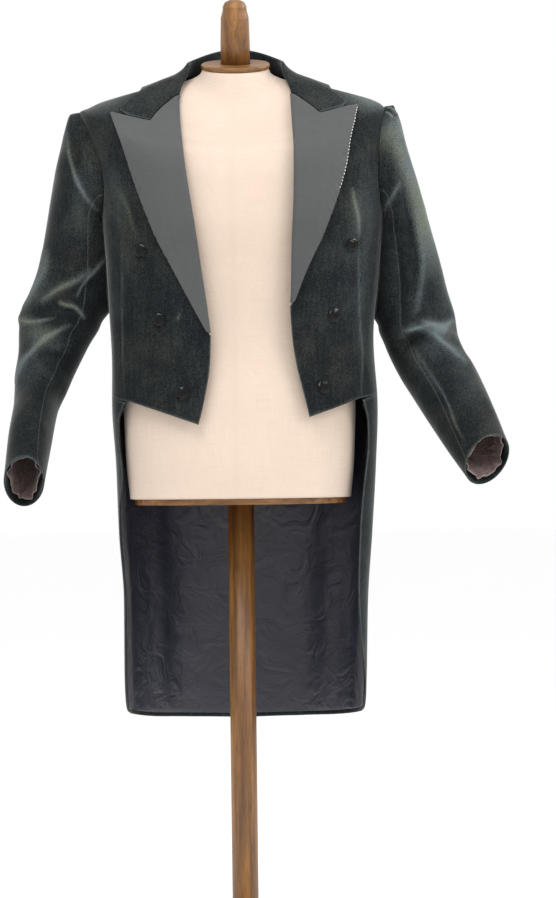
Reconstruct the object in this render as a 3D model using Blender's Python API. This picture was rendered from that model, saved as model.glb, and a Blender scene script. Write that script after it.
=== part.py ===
"""Tailcoat worn open on a limbless dress form.

Metres, +Z up. The origin is on the floor under the middle of the stand's foot.
The coat faces -Y, and left and right are the wearer's, so left is +X.
"""
import math

import bmesh
import bpy
import numpy as np
from mathutils.bvhtree import BVHTree

# Cloth thicknesses and the gaps between pieces
VELVET = 0.0020
SILK = 0.0022
LINING = 0.0012
SEAM_GAP = 0.0006
LAYER_GAP = 0.0005
LINING_GAP = 0.0012
PAST_EDGE = 0.003
METRES_A_DEGREE = 0.0033
LEFT, RIGHT = 1, -1

# The coat's body as level rings round the form. level is the height at the side, where the
# ring is widest; z_front and z_back are its heights in front and behind.
BODY_COLUMNS = ("level", "z_front", "z_back", "wide_right", "wide_left",
                "deep_front", "deep_back", "square")
BODY = (
    (0.500, 0.500, 0.500, 0.1700, 0.1760, 0.100, 0.165, 2.2),
    (0.600, 0.600, 0.600, 0.1715, 0.1800, 0.101, 0.165, 2.2),
    (0.700, 0.700, 0.700, 0.1710, 0.1830, 0.104, 0.163, 2.2),
    (0.800, 0.800, 0.800, 0.1770, 0.1905, 0.111, 0.158, 2.2),
    (0.900, 0.900, 0.900, 0.1800, 0.1970, 0.119, 0.150, 2.3),
    (0.985, 0.985, 0.985, 0.1855, 0.2005, 0.123, 0.140, 2.3),
    (1.080, 1.080, 1.080, 0.1870, 0.1970, 0.118, 0.113, 2.3),
    (1.170, 1.170, 1.170, 0.1895, 0.2040, 0.125, 0.120, 2.3),
    (1.250, 1.248, 1.250, 0.1955, 0.2110, 0.131, 0.133, 2.4),
    (1.330, 1.305, 1.325, 0.2070, 0.2150, 0.127, 0.139, 2.4),
    (1.385, 1.338, 1.372, 0.2200, 0.2155, 0.118, 0.136, 2.4),
    (1.4085, 1.352, 1.396, 0.2260, 0.2155, 0.106, 0.127, 2.4),
    (1.4145, 1.357, 1.404, 0.2130, 0.2110, 0.104, 0.124, 2.4),
    (1.422, 1.363, 1.413, 0.1970, 0.1970, 0.101, 0.119, 2.35),
    (1.429, 1.371, 1.423, 0.1750, 0.1750, 0.097, 0.112, 2.3),
    (1.436, 1.380, 1.434, 0.1500, 0.1500, 0.092, 0.102, 2.25),
    (1.447, 1.393, 1.451, 0.1120, 0.1120, 0.082, 0.085, 2.15),
    (1.457, 1.405, 1.468, 0.0830, 0.0830, 0.070, 0.068, 2.1),
    (1.470, 1.420, 1.487, 0.0700, 0.0700, 0.061, 0.064, 2.05),
    (1.485, 1.437, 1.505, 0.0645, 0.0645, 0.056, 0.061, 2.0),
    (1.500, 1.455, 1.523, 0.0625, 0.0625, 0.054, 0.060, 2.0),
)

# Soft folds of the coat's body: turn is 0 in front, 90 at the side and 180 behind
FOLD_COLUMNS = ("side", "turn", "level", "turn_reach", "level_reach", "slant", "height")
FOLDS = (
    (LEFT, 50, 1.245, 5.0, 0.075, 30, 0.0040),
    (RIGHT, 54, 1.265, 5.0, 0.070, 25, 0.0030),
    (LEFT, 116, 0.720, 8.0, 0.190, 6, 0.0070),
    (RIGHT, 112, 0.700, 8.0, 0.180, -5, 0.0070),
    (LEFT, 137, 0.680, 8.0, 0.200, 4, -0.0060),
    (RIGHT, 134, 0.690, 8.0, 0.210, -4, -0.0060),
    (LEFT, 84, 1.060, 11.0, 0.060, 10, -0.0025),
    (RIGHT, 86, 1.050, 11.0, 0.060, -10, -0.0025),
    (LEFT, 150, 1.300, 12.0, 0.070, 0, 0.0030),
    (RIGHT, 150, 1.290, 12.0, 0.070, 0, 0.0030),
)

# Armhole: an oval in turn and level
ARMHOLE = {
    RIGHT: {"turn": 92.0, "level": 1.3280, "turn_reach": 25.0, "level_reach": 0.0815},
    LEFT: {"turn": 92.0, "level": 1.3300, "turn_reach": 23.0, "level_reach": 0.0825},
}
ARMHOLE_STEP = 15
SIDE_SEAM_AT = 135
BACK_SEAM_AT = 240
SHOULDER_SEAM = ((94.0, 1.436), (96.0, 1.457))

# Front edge and roll line as seen from the front: x out from the middle, and z
FRONT_EDGE = {
    RIGHT: ((0.0569, 0.9533), (0.0506, 0.9772), (0.0448, 1.0053), (0.0402, 1.0330),
            (0.0386, 1.0610), (0.0380, 1.0829)),
    LEFT: ((0.1001, 0.9625), (0.0973, 0.9755), (0.0906, 1.0038), (0.0827, 1.0372),
           (0.0776, 1.0709), (0.0751, 1.1055), (0.0746, 1.1242)),
}
ROLL_LINE = {
    RIGHT: ((0.0380, 1.0829), (0.0395, 1.0942), (0.0433, 1.1252), (0.0509, 1.1778),
            (0.0558, 1.2152), (0.0610, 1.2511), (0.0688, 1.3014), (0.0741, 1.3443),
            (0.0785, 1.3894), (0.0800, 1.4150)),
    LEFT: ((0.0746, 1.1242), (0.0755, 1.1351), (0.0767, 1.1709), (0.0778, 1.2122),
           (0.0796, 1.2438), (0.0814, 1.2858), (0.0821, 1.3428), (0.0801, 1.3874),
           (0.0789, 1.4150)),
}
LOWER_EDGE = {
    RIGHT: ((0.0569, 0.9533), (0.1044, 0.9702), (0.1544, 0.9875)),
    LEFT: ((0.1001, 0.9625), (0.1365, 0.9752), (0.1741, 0.9894)),
}
LAPEL_OUTER = {
    RIGHT: ((0.0451, 1.0852), (0.0531, 1.1000), (0.0737, 1.1389), (0.0955, 1.1811),
            (0.1147, 1.2186), (0.1256, 1.2451), (0.1449, 1.2973), (0.1616, 1.3495),
            (0.1800, 1.4042)),
    LEFT: ((0.0821, 1.1264), (0.0851, 1.1335), (0.0967, 1.1635), (0.1111, 1.1945),
           (0.1196, 1.2111), (0.1326, 1.2430), (0.1455, 1.2776), (0.1576, 1.3203),
           (0.1654, 1.3632), (0.1763, 1.4110)),
}
LAPEL_TOP = {
    RIGHT: ((0.1800, 1.4042), (0.1603, 1.3985), (0.1382, 1.3924), (0.1207, 1.3881)),
    LEFT: ((0.1763, 1.4110), (0.1573, 1.4073), (0.1381, 1.4020), (0.1202, 1.3969)),
}
COLLAR_OUTER = {
    RIGHT: ((0.1207, 1.3893), (0.1382, 1.3936), (0.1560, 1.3990), (0.1650, 1.4060)),
    LEFT: ((0.1202, 1.3981), (0.1381, 1.4032), (0.1535, 1.4075), (0.1590, 1.4140)),
}
COLLAR_OUTER_BACK = ((64.0, 1.4330), (76.0, 1.4390), (90.0, 1.4405), (120.0, 1.4405),
                     (150.0, 1.4425), (180.0, 1.4450))
ROLL_TOP = ((49.0, 1.4490), (61.0, 1.4550), (75.0, 1.4700), (90.0, 1.4780),
            (120.0, 1.4825), (180.0, 1.4850))
NECK_SEAM = ((49.0, 1.4460), (61.0, 1.4497), (75.0, 1.4570), (90.0, 1.4590), (180.0, 1.4592))
NECKLINE = ((58.0, 1.4445), (75.0, 1.4520), (96.0, 1.4570))

# Seams behind: the side body meets the back along BACK_SEAM, the tail along PLEAT
SIDE_SEAM_FOOT = (80.0, 0.995)
BACK_SEAM = ((164.0, 1.005), (158.0, 1.080), (146.0, 1.160), (130.0, 1.235))
PLEAT = ((154.0, 0.519), (157.0, 0.650), (161.0, 0.830), (164.0, 1.005))
WAIST_SEAM = ((80.0, 0.995), (110.0, 1.001), (140.0, 1.004), (164.0, 1.005))
TAIL_EDGE = {
    RIGHT: ((106.0, 0.5330), (97.0, 0.5400), (92.0, 0.5560), (89.0, 0.5900), (88.0, 0.6700),
            (86.0, 0.7600), (80.0, 0.8300), (70.0, 0.8850), (72.0, 0.9250), (69.5, 0.9600),
            (60.0, 0.9870)),
    LEFT: ((104.0, 0.5330), (95.0, 0.5420), (88.0, 0.5650), (78.0, 0.6050), (70.0, 0.6600),
           (65.0, 0.7400), (63.5, 0.8150), (65.5, 0.8780), (68.0, 0.9200), (66.0, 0.9600),
           (60.5, 0.9870)),
}
HEM = ((106.0, 0.5330), (128.0, 0.5240), (154.0, 0.5190), (180.0, 0.5160))
CENTRE_BACK_GAP = 0.0006
LINING_INSET = 0.006
LINING_INSET_TURN = 1.6

# Sleeves: rings from the armhole to the cuff, by the outer and inner points that show from
# the front, the middle's y and half the depth from front to back
SLEEVE_COLUMNS = ("out_outer", "z_outer", "out_inner", "z_inner", "y", "half_depth")
SLEEVE = {
    RIGHT: (
        (0.2260, 1.4095, 0.1955, 1.2470, 0.010, 0.066),
        (0.2395, 1.4070, 0.1962, 1.2430, 0.008, 0.068),
        (0.2504, 1.3780, 0.1973, 1.2360, 0.008, 0.069),
        (0.2613, 1.3350, 0.1971, 1.2260, 0.010, 0.070),
        (0.2704, 1.2880, 0.1958, 1.2090, 0.014, 0.069),
        (0.2781, 1.2450, 0.1943, 1.1850, 0.018, 0.067),
        (0.2851, 1.2100, 0.1935, 1.1550, 0.024, 0.065),
        (0.2929, 1.1800, 0.1948, 1.1270, 0.030, 0.063),
        (0.3035, 1.1496, 0.2035, 1.0985, 0.036, 0.061),
        (0.3200, 1.1163, 0.2175, 1.0760, 0.040, 0.059),
        (0.3225, 1.0661, 0.2375, 1.0371, 0.036, 0.058),
        (0.3270, 1.0261, 0.2515, 1.0065, 0.022, 0.057),
        (0.3275, 0.9868, 0.2635, 0.9794, 0.002, 0.056),
        (0.3320, 0.9345, 0.2700, 0.9290, -0.052, 0.056),
        (0.3345, 0.8830, 0.2775, 0.8690, -0.098, 0.053),
    ),
    LEFT: (
        (0.2125, 1.4125, 0.2110, 1.2475, 0.010, 0.066),
        (0.2260, 1.4150, 0.2118, 1.2440, 0.008, 0.068),
        (0.2375, 1.3920, 0.2133, 1.2380, 0.008, 0.069),
        (0.2471, 1.3550, 0.2140, 1.2290, 0.010, 0.070),
        (0.2600, 1.3120, 0.2128, 1.2150, 0.012, 0.070),
        (0.2715, 1.2720, 0.2112, 1.1950, 0.016, 0.068),
        (0.2821, 1.2360, 0.2093, 1.1700, 0.021, 0.066),
        (0.2909, 1.2050, 0.2072, 1.1450, 0.027, 0.064),
        (0.2977, 1.1780, 0.2043, 1.1190, 0.033, 0.062),
        (0.3047, 1.1484, 0.2040, 1.0930, 0.037, 0.061),
        (0.3160, 1.1100, 0.2120, 1.0700, 0.040, 0.059),
        (0.3195, 1.0837, 0.2200, 1.0500, 0.036, 0.057),
        (0.3300, 1.0566, 0.2327, 1.0236, 0.024, 0.055),
        (0.3455, 1.0260, 0.2505, 0.9928, 0.004, 0.052),
        (0.3615, 0.9841, 0.2740, 0.9515, -0.038, 0.048),
        (0.3700, 0.9575, 0.2985, 0.9100, -0.070, 0.045),
        (0.3765, 0.9300, 0.3265, 0.8685, -0.100, 0.042),
    ),
}

# Seams round the sleeve, its clearance of the body, how far along its run is measured, the
# rows over which it leaves the armhole's shape, and the rows over which its rings tilt
FRONT_ARM_SEAM = 120
HIND_ARM_SEAM = 255
SLEEVE_CLEAR = 0.0016
RUN_REACH = 2.0
SLEEVE_START = 3.0
ELBOW_FROM, ELBOW_TO = 5.0, 9.0
# How far a sleeve is drawn in to the body under the armhole, and over which of its rows
HUG = 0.012
HUG_FROM = 1.4
HUG_TO = {RIGHT: 6.8, LEFT: 8.0}
SLEEVE_FOLD_COLUMNS = ("side", "around", "place", "around_reach", "place_reach", "slant", "height")
SLEEVE_FOLDS = (
    (RIGHT, 60, 2.2, 16, 1.0, 10, -0.0040),
    (RIGHT, 75, 8.6, 30, 0.45, 0, -0.0060),
    (RIGHT, 85, 9.6, 34, 0.40, 0, 0.0050),
    (RIGHT, 110, 10.4, 30, 0.40, 0, -0.0050),
    (RIGHT, 30, 9.2, 22, 0.50, 0, 0.0040),
    (RIGHT, 70, 13.4, 30, 0.45, 0, -0.0040),
    (LEFT, 78, 5.2, 12, 2.6, 2, -0.0060),
    (LEFT, 40, 4.6, 18, 2.2, 0, 0.0040),
    (LEFT, 95, 10.2, 32, 0.45, 0, 0.0050),
    (LEFT, 105, 11.1, 34, 0.45, 0, -0.0060),
    (LEFT, 55, 11.3, 24, 0.50, 0, 0.0050),
    (LEFT, 95, 12.4, 32, 0.45, 0, 0.0040),
    (LEFT, 250, 10.6, 34, 0.55, 0, 0.0040),
    (RIGHT, 250, 9.4, 34, 0.55, 0, 0.0040),
)

# How far a cuff lining reaches past the sleeve's last row of cells but one, and how far short
# of the cuff it stops, as shares of a row
CUFF_LINING_DEEP = 0.5
CUFF_LINING_SHORT = 0.1

# Buttons as seen from the front, then the two at the back of the waist as turn and level
BUTTON_RADIUS = 0.0100
FRONT_BUTTONS = (
    ("upper_right", RIGHT, 0.1380, 1.2011), ("middle_right", RIGHT, 0.1125, 1.1021),
    ("lower_right", RIGHT, 0.0797, 0.9986), ("upper_left", LEFT, 0.1625, 1.2055),
    ("middle_left", LEFT, 0.1383, 1.1065), ("lower_left", LEFT, 0.1224, 1.0055),
)
BACK_BUTTONS = (("back_right", RIGHT, 162.0, 1.017), ("back_left", LEFT, 162.0, 1.017))
BUTTON_SIDES = 10
BUTTON_PROFILE = ((0.0036, 0.0), (0.0036, 0.0012), (0.0092, 0.0022), (0.0100, 0.0034),
                  (0.0086, 0.0054), (0.0048, 0.0068))

# The dress form, as rings like the body's; arch is 1 for a ring that dips or lifts as an
# arch and 0 for one that tilts flat
FORM_COLUMNS = ("level", "z_front", "z_back", "wide", "deep_front", "deep_back", "square", "arch")
FORM = (
    (0.8480, 0.8480, 0.8480, 0.1600, 0.103, 0.118, 2.3, 1),
    (0.9000, 0.9000, 0.9000, 0.1650, 0.107, 0.126, 2.3, 1),
    (0.9850, 0.9850, 0.9850, 0.1680, 0.108, 0.126, 2.3, 1),
    (1.0800, 1.0800, 1.0800, 0.1500, 0.096, 0.099, 2.3, 1),
    (1.1700, 1.1700, 1.1700, 0.1580, 0.106, 0.106, 2.3, 1),
    (1.2500, 1.2480, 1.2500, 0.1720, 0.116, 0.119, 2.4, 1),
    (1.3280, 1.3020, 1.3220, 0.1850, 0.114, 0.125, 2.4, 1),
    (1.3820, 1.3340, 1.3680, 0.1970, 0.106, 0.123, 2.4, 1),
    (1.4060, 1.3480, 1.3920, 0.2060, 0.097, 0.116, 2.4, 1),
    (1.4190, 1.3575, 1.4080, 0.1950, 0.093, 0.109, 2.35, 1),
    (1.4252, 1.3650, 1.4160, 0.1735, 0.088, 0.101, 2.3, 1),
    (1.4312, 1.3740, 1.4245, 0.1475, 0.084, 0.089, 2.25, 1),
    (1.4425, 1.3875, 1.4400, 0.1105, 0.075, 0.075, 2.15, 1),
    (1.4503, 1.4000, 1.4540, 0.0810, 0.065, 0.065, 2.1, 0.8),
    (1.4570, 1.4160, 1.4640, 0.0610, 0.056, 0.057, 2.05, 0.4),
    (1.4630, 1.4440, 1.4740, 0.0510, 0.050, 0.051, 2.0, 0.1),
    (1.4700, 1.4571, 1.4829, 0.0480, 0.048, 0.048, 2.0, 0),
)
FORM_AROUND = 28
BOARD_THICK = 0.008
BOARD_SHARE = 0.96
NECK_TILT = math.radians(15)
DISC_RADIUS = 0.050
DISC_THICK = 0.0070
DISC_FOOT = 1.4706
PEG_PROFILE = ((0.0215, 0.0), (0.0212, 0.030), (0.0202, 0.066), (0.0180, 0.074), (0.0172, 0.078),
               (0.0172, 0.082), (0.0140, 0.088), (0.0070, 0.0915))
POLE_RADIUS = 0.019
FOOT_PROFILE = ((0.2050, 0.0), (0.2100, 0.006), (0.2100, 0.020), (0.2040, 0.027), (0.0600, 0.033))
SOCKET_PROFILE = ((0.0380, 0.0), (0.0380, 0.012), (0.0310, 0.022), (0.0290, 0.046), (0.0265, 0.050))
ROUND_SIDES = 28

# Grid sizes
FRONT_ACROSS, NECK_ACROSS, TAIL_ACROSS = 8, 2, 8
SIDE_ROWS, TAIL_ROWS, EDGE_ROWS, NECK_ROWS = 8, 12, 4, 3
LAPEL_ACROSS = 6
COLLAR_FALL, COLLAR_FRONT_ROWS, COLLAR_BACK_ROWS = 4, 5, 7
SLEEVE_ROWS = 16
# How closely a patch keeps to its low and high edges near them
BACK_HOLD = 6
LAPEL_HOLD = 2


def monotone(rows):
    """A smooth curve through each column of a table, against its first column."""
    rows = np.array(rows, float)
    knots, values = rows[:, 0], rows[:, 1:]
    steps = np.diff(knots)[:, None]
    slopes = np.diff(values, axis=0) / steps
    turning = slopes[:-1] * slopes[1:] <= 0
    before = np.where(turning, 1.0, slopes[:-1])
    after = np.where(turning, 1.0, slopes[1:])
    heavy, light = 2 * steps[1:] + steps[:-1], steps[1:] + 2 * steps[:-1]
    inner = np.where(turning, 0.0, (heavy + light) / (heavy / before + light / after))
    tangents = np.vstack([slopes[:1], inner, slopes[-1:]])

    def at(where):
        where = np.clip(np.asarray(where, float), knots[0], knots[-1])
        low = np.clip(np.searchsorted(knots, where, side="right") - 1, 0, len(knots) - 2)
        step = (knots[low + 1] - knots[low])[..., None]
        t = (where[..., None] - knots[low][..., None]) / step
        return (values[low] * (1 + 2 * t) * (1 - t) ** 2
                + tangents[low] * step * t * (1 - t) ** 2
                + values[low + 1] * t ** 2 * (3 - 2 * t)
                + tangents[low + 1] * step * t ** 2 * (t - 1))
    return at


body_table = monotone(BODY)
form_table = monotone(FORM)


def signed_power(value, power):
    return np.sign(value) * np.abs(value) ** power


def fold_height(table, side, a, b):
    """The height of a table's soft ridges and hollows at a and b."""
    height = np.zeros(np.broadcast(a, b).shape)
    for fold_side, at_a, at_b, reach_a, reach_b, slant, size in table:
        if fold_side == side:
            off_b = (b - at_b) / reach_b
            off_a = ((a - at_a - slant * (b - at_b) + 180) % 360 - 180) / reach_a
            height = height + size * np.exp(-off_a ** 2 - off_b ** 2)
    return height


def ring_point(side, turn, level):
    """A point of the coat's body, with no folds."""
    z_front, z_back, right, left, front, back, square = np.moveaxis(body_table(level), -1, 0)
    angle = np.radians(turn)
    cosine = np.cos(angle)
    wide = left if side == LEFT else right
    power = 2 / square
    x = side * wide * signed_power(np.sin(angle), power)
    y = -np.where(cosine > 0, front, back) * signed_power(cosine, power)
    z = level + (np.where(cosine > 0, z_front, z_back) - level) * cosine ** 2
    return np.stack([x, y, z], axis=-1)


def smooth_step(share):
    share = np.clip(share, 0, 1)
    return share * share * (3 - 2 * share)


def unit(vectors):
    return vectors / np.maximum(np.linalg.norm(vectors, axis=-1, keepdims=True), 1e-12)


def outward(surface, side, turn, level):
    """Unit normals of a surface given by turn and level."""
    across = surface(side, turn + 0.4, level) - surface(side, turn - 0.4, level)
    up = surface(side, turn, level + 0.0008) - surface(side, turn, level - 0.0008)
    return side * unit(np.cross(across, up))


def cloth(side, turn, level, lift=0.0):
    """The outer face of the coat's body, with its folds, moved out by lift."""
    turn, level = np.broadcast_arrays(np.asarray(turn, float), np.asarray(level, float))
    height = fold_height(FOLDS, side, turn, level) + lift
    return ring_point(side, turn, level) + outward(ring_point, side, turn, level) * height[..., None]


def on_cloth(side, spots, lift=0.0):
    """Turn and level of spots given as x out from the middle and z, seen from the front."""
    spots = np.array(spots, float)
    turn = np.full(len(spots), 40.0)
    level = spots[:, 1] + 0.02
    for _ in range(80):
        here = cloth(side, turn, level, lift)
        by_turn = cloth(side, turn + 0.2, level, lift) - here
        by_level = cloth(side, turn, level + 0.0005, lift) - here
        miss_x = spots[:, 0] - side * here[:, 0]
        miss_z = spots[:, 1] - here[:, 2]
        a, b, c, d = side * by_turn[:, 0], side * by_level[:, 0], by_turn[:, 2], by_level[:, 2]
        size = a * d - b * c
        size = np.where(np.abs(size) < 1e-12, 1e-12, size)
        turn = np.clip(turn + np.clip(0.2 * (miss_x * d - miss_z * b) / size, -4, 4), 3, 89.5)
        level = np.clip(level + np.clip(0.0005 * (miss_z * a - miss_x * c) / size, -0.01, 0.01),
                        0.5, 1.499)
    return np.stack([turn, level], axis=-1)


def spread(points, count, scale=METRES_A_DEGREE):
    """Points spaced evenly along a smooth line through turn and level points."""
    points = np.array(points, float)
    lengths = np.hypot(np.diff(points[:, 0]) * scale, np.diff(points[:, 1]))
    places = np.concatenate([[0], np.cumsum(lengths)])
    line = monotone(np.column_stack([places, points]))
    return line(np.linspace(0, places[-1], count + 1))


def seen_line(side, spots, count, lift=0.0):
    """Turns and levels spaced evenly along a line of spots seen from the front."""
    return on_cloth(side, spread(spots, count, 1.0), lift)


def joined(*lines):
    """One line from several that meet end to end."""
    parts = [line[:-1] for line in lines[:-1]]
    return np.vstack(parts + [lines[-1]])


def patch(low, high, start, end, hold=1.0):
    """Fill a four sided patch: low and high run across it, start and end run up.

    A larger hold keeps what low and high do nearer to them.
    """
    across = np.linspace(0, 1, len(low))[None, :, None]
    up = np.linspace(0, 1, len(start))[:, None, None]
    ruled = start[:, None] * (1 - across) + end[:, None] * across
    return ruled + (1 - up) ** hold * (low - ruled[0]) + up ** hold * (high - ruled[-1])


def armhole(side, around):
    """The armhole seam as turn and level; around is 0 on top, 90 in front, 180 below."""
    hole = ARMHOLE[side]
    angle = np.radians(np.asarray(around, float))
    return np.stack([hole["turn"] - hole["turn_reach"] * np.sin(angle),
                     hole["level"] + hole["level_reach"] * np.cos(angle)], axis=-1)


def armhole_run(side, first, last):
    count = int(round(abs(last - first) / ARMHOLE_STEP))
    return armhole(side, np.linspace(first, last, count + 1))


def material(name, hex_colour, roughness):
    """A plain material; the colour is an sRGB hex value."""
    linear = [((part / 255) / 12.92 if part <= 10 else ((part / 255 + 0.055) / 1.055) ** 2.4)
              for part in bytes.fromhex(hex_colour)]
    made = bpy.data.materials.get(name) or bpy.data.materials.new(name)
    made.use_nodes = True
    shader = made.node_tree.nodes["Principled BSDF"]
    shader.inputs["Base Color"].default_value = (*linear, 1)
    shader.inputs["Roughness"].default_value = roughness
    return made


def add_object(name, verts, faces, look):
    """One named object with outward faces from points and faces."""
    mesh = bpy.data.meshes.new(name)
    mesh.from_pydata([tuple(point) for point in verts], [], faces)
    shaper = bmesh.new()
    shaper.from_mesh(mesh)
    bmesh.ops.recalc_face_normals(shaper, faces=shaper.faces)
    shaper.to_mesh(mesh)
    shaper.free()
    mesh.shade_smooth()
    mesh.materials.append(look)
    made = bpy.data.objects.new(name, mesh)
    bpy.context.collection.objects.link(made)
    return made


def trimmed(grid, sides, gap=SEAM_GAP / 2):
    """Draw a grid's named sides in by half a seam gap."""
    grid = grid.copy()
    if "low" in sides:
        grid[0] += unit(grid[1] - grid[0]) * gap
    if "high" in sides:
        grid[-1] += unit(grid[-2] - grid[-1]) * gap
    if "start" in sides:
        grid[:, 0] += unit(grid[:, 1] - grid[:, 0]) * gap
    if "end" in sides:
        grid[:, -1] += unit(grid[:, -2] - grid[:, -1]) * gap
    return grid


def wall(name, outer, inner, look, ring=False):
    """A closed wall between two grids; a ring's last column joins its first."""
    rows, columns = outer.shape[:2]
    verts = np.concatenate([outer.reshape(-1, 3), inner.reshape(-1, 3)])
    base = rows * columns
    faces = []
    for row in range(rows - 1):
        for column in range(columns if ring else columns - 1):
            beside = (column + 1) % columns
            quad = (row * columns + column, row * columns + beside,
                    (row + 1) * columns + beside, (row + 1) * columns + column)
            faces.append(quad)
            faces.append(tuple(base + quad[corner] for corner in (0, 3, 2, 1)))
    top = (rows - 1) * columns
    if ring:
        loops = [[column for column in range(columns)],
                 [top + column for column in reversed(range(columns))]]
    else:
        loops = [[column for column in range(columns)]
                 + [row * columns + columns - 1 for row in range(1, rows)]
                 + [top + column for column in reversed(range(columns - 1))]
                 + [row * columns for row in reversed(range(1, rows - 1))]]
    for loop in loops:
        for here, there in zip(loop, loop[1:] + loop[:1]):
            faces.append((there, here, base + here, base + there))
    return add_object(name, verts, faces, look)


def body_wall(name, side, grid, sides, look, thick=VELVET, lift=0.0):
    """A wall of the coat's body over a grid of turns and levels."""
    turn, level = grid[..., 0], grid[..., 1]
    outer = cloth(side, turn, level, lift)
    normal = outward(lambda s, t, l: cloth(s, t, l, lift), side, turn, level)
    return wall(name, trimmed(outer, sides), trimmed(outer - normal * thick, sides), look)


def solid_of_rings(name, rings, look):
    """A closed solid through rings of the same number of points, with flat ends."""
    rings = np.array(rings)
    count, columns = rings.shape[:2]
    faces = [tuple(reversed(range(columns))),
             tuple((count - 1) * columns + column for column in range(columns))]
    for row in range(count - 1):
        for column in range(columns):
            beside = (column + 1) % columns
            faces.append((row * columns + column, row * columns + beside,
                          (row + 1) * columns + beside, (row + 1) * columns + column))
    return add_object(name, rings.reshape(-1, 3), faces, look)


def turned(profile, sides, centre, axis=(0, 0, 1), spin=0.0):
    """Rings of a turned shape, given as radius and height along an axis."""
    axis = unit(np.array(axis, float))
    aside = unit(np.cross(axis, (0, 1, 0.01) if abs(axis[1]) < 0.9 else (1, 0, 0.01)))
    across = np.cross(axis, aside)
    angle = np.linspace(0, 2 * math.pi, sides, endpoint=False) + spin
    rim = np.cos(angle)[:, None] * aside + np.sin(angle)[:, None] * across
    return [np.array(centre) + rim * radius + axis * height for radius, height in profile]


def roll_edge(side):
    """The front's edge under the lapel's fold, as turn and level."""
    rows = SIDE_ROWS + SIDE_SEAM_AT // ARMHOLE_STEP - EDGE_ROWS - NECK_ROWS
    return seen_line(side, ROLL_LINE[side] + np.array([PAST_EDGE, 0.0]), rows)


def front_patch(side):
    """The front, from its free edge to the side seam and the armhole."""
    edge = seen_line(side, FRONT_EDGE[side], EDGE_ROWS)
    roll = roll_edge(side)
    edge[-1] = roll[0]
    seam = shoulder_seam(side)[::-1]
    neck = spread(np.vstack([roll[-1:], NECKLINE]), NECK_ROWS)
    inner = joined(edge, roll, neck)
    inner[-1] = seam[0]
    waist = FRONT_ACROSS // 4
    corner = seen_line(side, LOWER_EDGE[side], FRONT_ACROSS - waist)
    low = joined(corner,
                 spread([corner[-1], SIDE_SEAM_FOOT], waist))
    low[0] = inner[0]
    outer = joined(spread([SIDE_SEAM_FOOT, armhole(side, SIDE_SEAM_AT)], SIDE_ROWS),
                   armhole_run(side, SIDE_SEAM_AT, 0))
    return patch(low, seam, inner, outer)


def shoulder_seam(side):
    return spread([armhole(side, 0)] + list(SHOULDER_SEAM), FRONT_ACROSS)


def side_patch(side):
    """The side body, between the side seam and the back seam."""
    front = spread([SIDE_SEAM_FOOT, armhole(side, SIDE_SEAM_AT)], SIDE_ROWS)
    back = spread(list(BACK_SEAM) + [armhole(side, BACK_SEAM_AT)], SIDE_ROWS)
    high = armhole_run(side, SIDE_SEAM_AT, BACK_SEAM_AT)
    return patch(spread(WAIST_SEAM, len(high) - 1), high, front, back)


def back_patch(side):
    """Half the back, from the hem of its tail to the neck."""
    start = joined(spread(PLEAT, TAIL_ROWS),
                   spread(list(BACK_SEAM) + [armhole(side, BACK_SEAM_AT)], SIDE_ROWS),
                   armhole_run(side, BACK_SEAM_AT, 360))
    neck = [SHOULDER_SEAM[-1], (140.0, 1.457), (180.0, 1.457)]
    high = joined(shoulder_seam(side), spread(neck, NECK_ACROSS))
    low = spread(HEM[2:], len(high) - 1)
    stops = (HEM[-1][1], PLEAT[-1][1], 1.300, 1.457)
    rows = (TAIL_ROWS, SIDE_ROWS, (360 - BACK_SEAM_AT) // ARMHOLE_STEP)
    levels = [np.linspace(*ends, count + 1)[:-1]
              for ends, count in zip(zip(stops, stops[1:]), rows)]
    levels = np.append(np.concatenate(levels), stops[-1])
    end = np.column_stack([np.full(len(levels), 180.0), levels])
    return patch(low, high, start, end, BACK_HOLD)


def make_back(name, side, look):
    grid = back_patch(side)
    turn, level = grid[..., 0], grid[..., 1]
    outer = cloth(side, turn, level)
    inner = outer - outward(cloth, side, turn, level) * VELVET
    outer, inner = trimmed(outer, ("start", "high")), trimmed(inner, ("start", "high"))
    for face in (outer, inner):
        face[:, -1, 0] = side * CENTRE_BACK_GAP / 2
    return wall(name, outer, inner, look)


def tail_patch(side):
    """A tail outside the back's pleat, from its front edge."""
    low = spread(np.vstack([TAIL_EDGE[side][:1], HEM[1:3]]), TAIL_ACROSS)
    high = spread([TAIL_EDGE[side][-1], (70.0, 0.9915)] + list(WAIST_SEAM), TAIL_ACROSS)
    return patch(low, high, spread(TAIL_EDGE[side], TAIL_ROWS), spread(PLEAT, TAIL_ROWS))


def make_tail_lining(name, side, look):
    """One satin sheet inside the tail, from its front edge to the centre vent."""
    behind = back_patch(side)[:TAIL_ROWS + 1, ::NECK_ACROSS][:, 1:]
    grid = np.concatenate([tail_patch(side), behind], axis=1)
    grid[:, 0, 0] += LINING_INSET_TURN
    grid[:, -1, 0] -= LINING_INSET_TURN / 2
    grid[0, :, 1] += LINING_INSET
    grid[-1, :, 1] -= LINING_INSET
    return body_wall(name, side, grid, (), look, LINING, -VELVET - LINING_GAP)


# The lapel's fold round the front's edge: how far past the edge, and how high, for its
# outer and its inner face
ROLL_FOLD = (
    ((0.0030, -0.0018), (0.0007, -0.0018)),
    ((0.0031, 0.0008), (0.0008, 0.0003)),
    ((0.0021, 0.0029), (0.0005, 0.0008)),
)
LAPEL_LIFT = 0.0040
LAPEL_EDGE_LIFT = 0.0080
GORGE_LIFT = 0.0042


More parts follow.
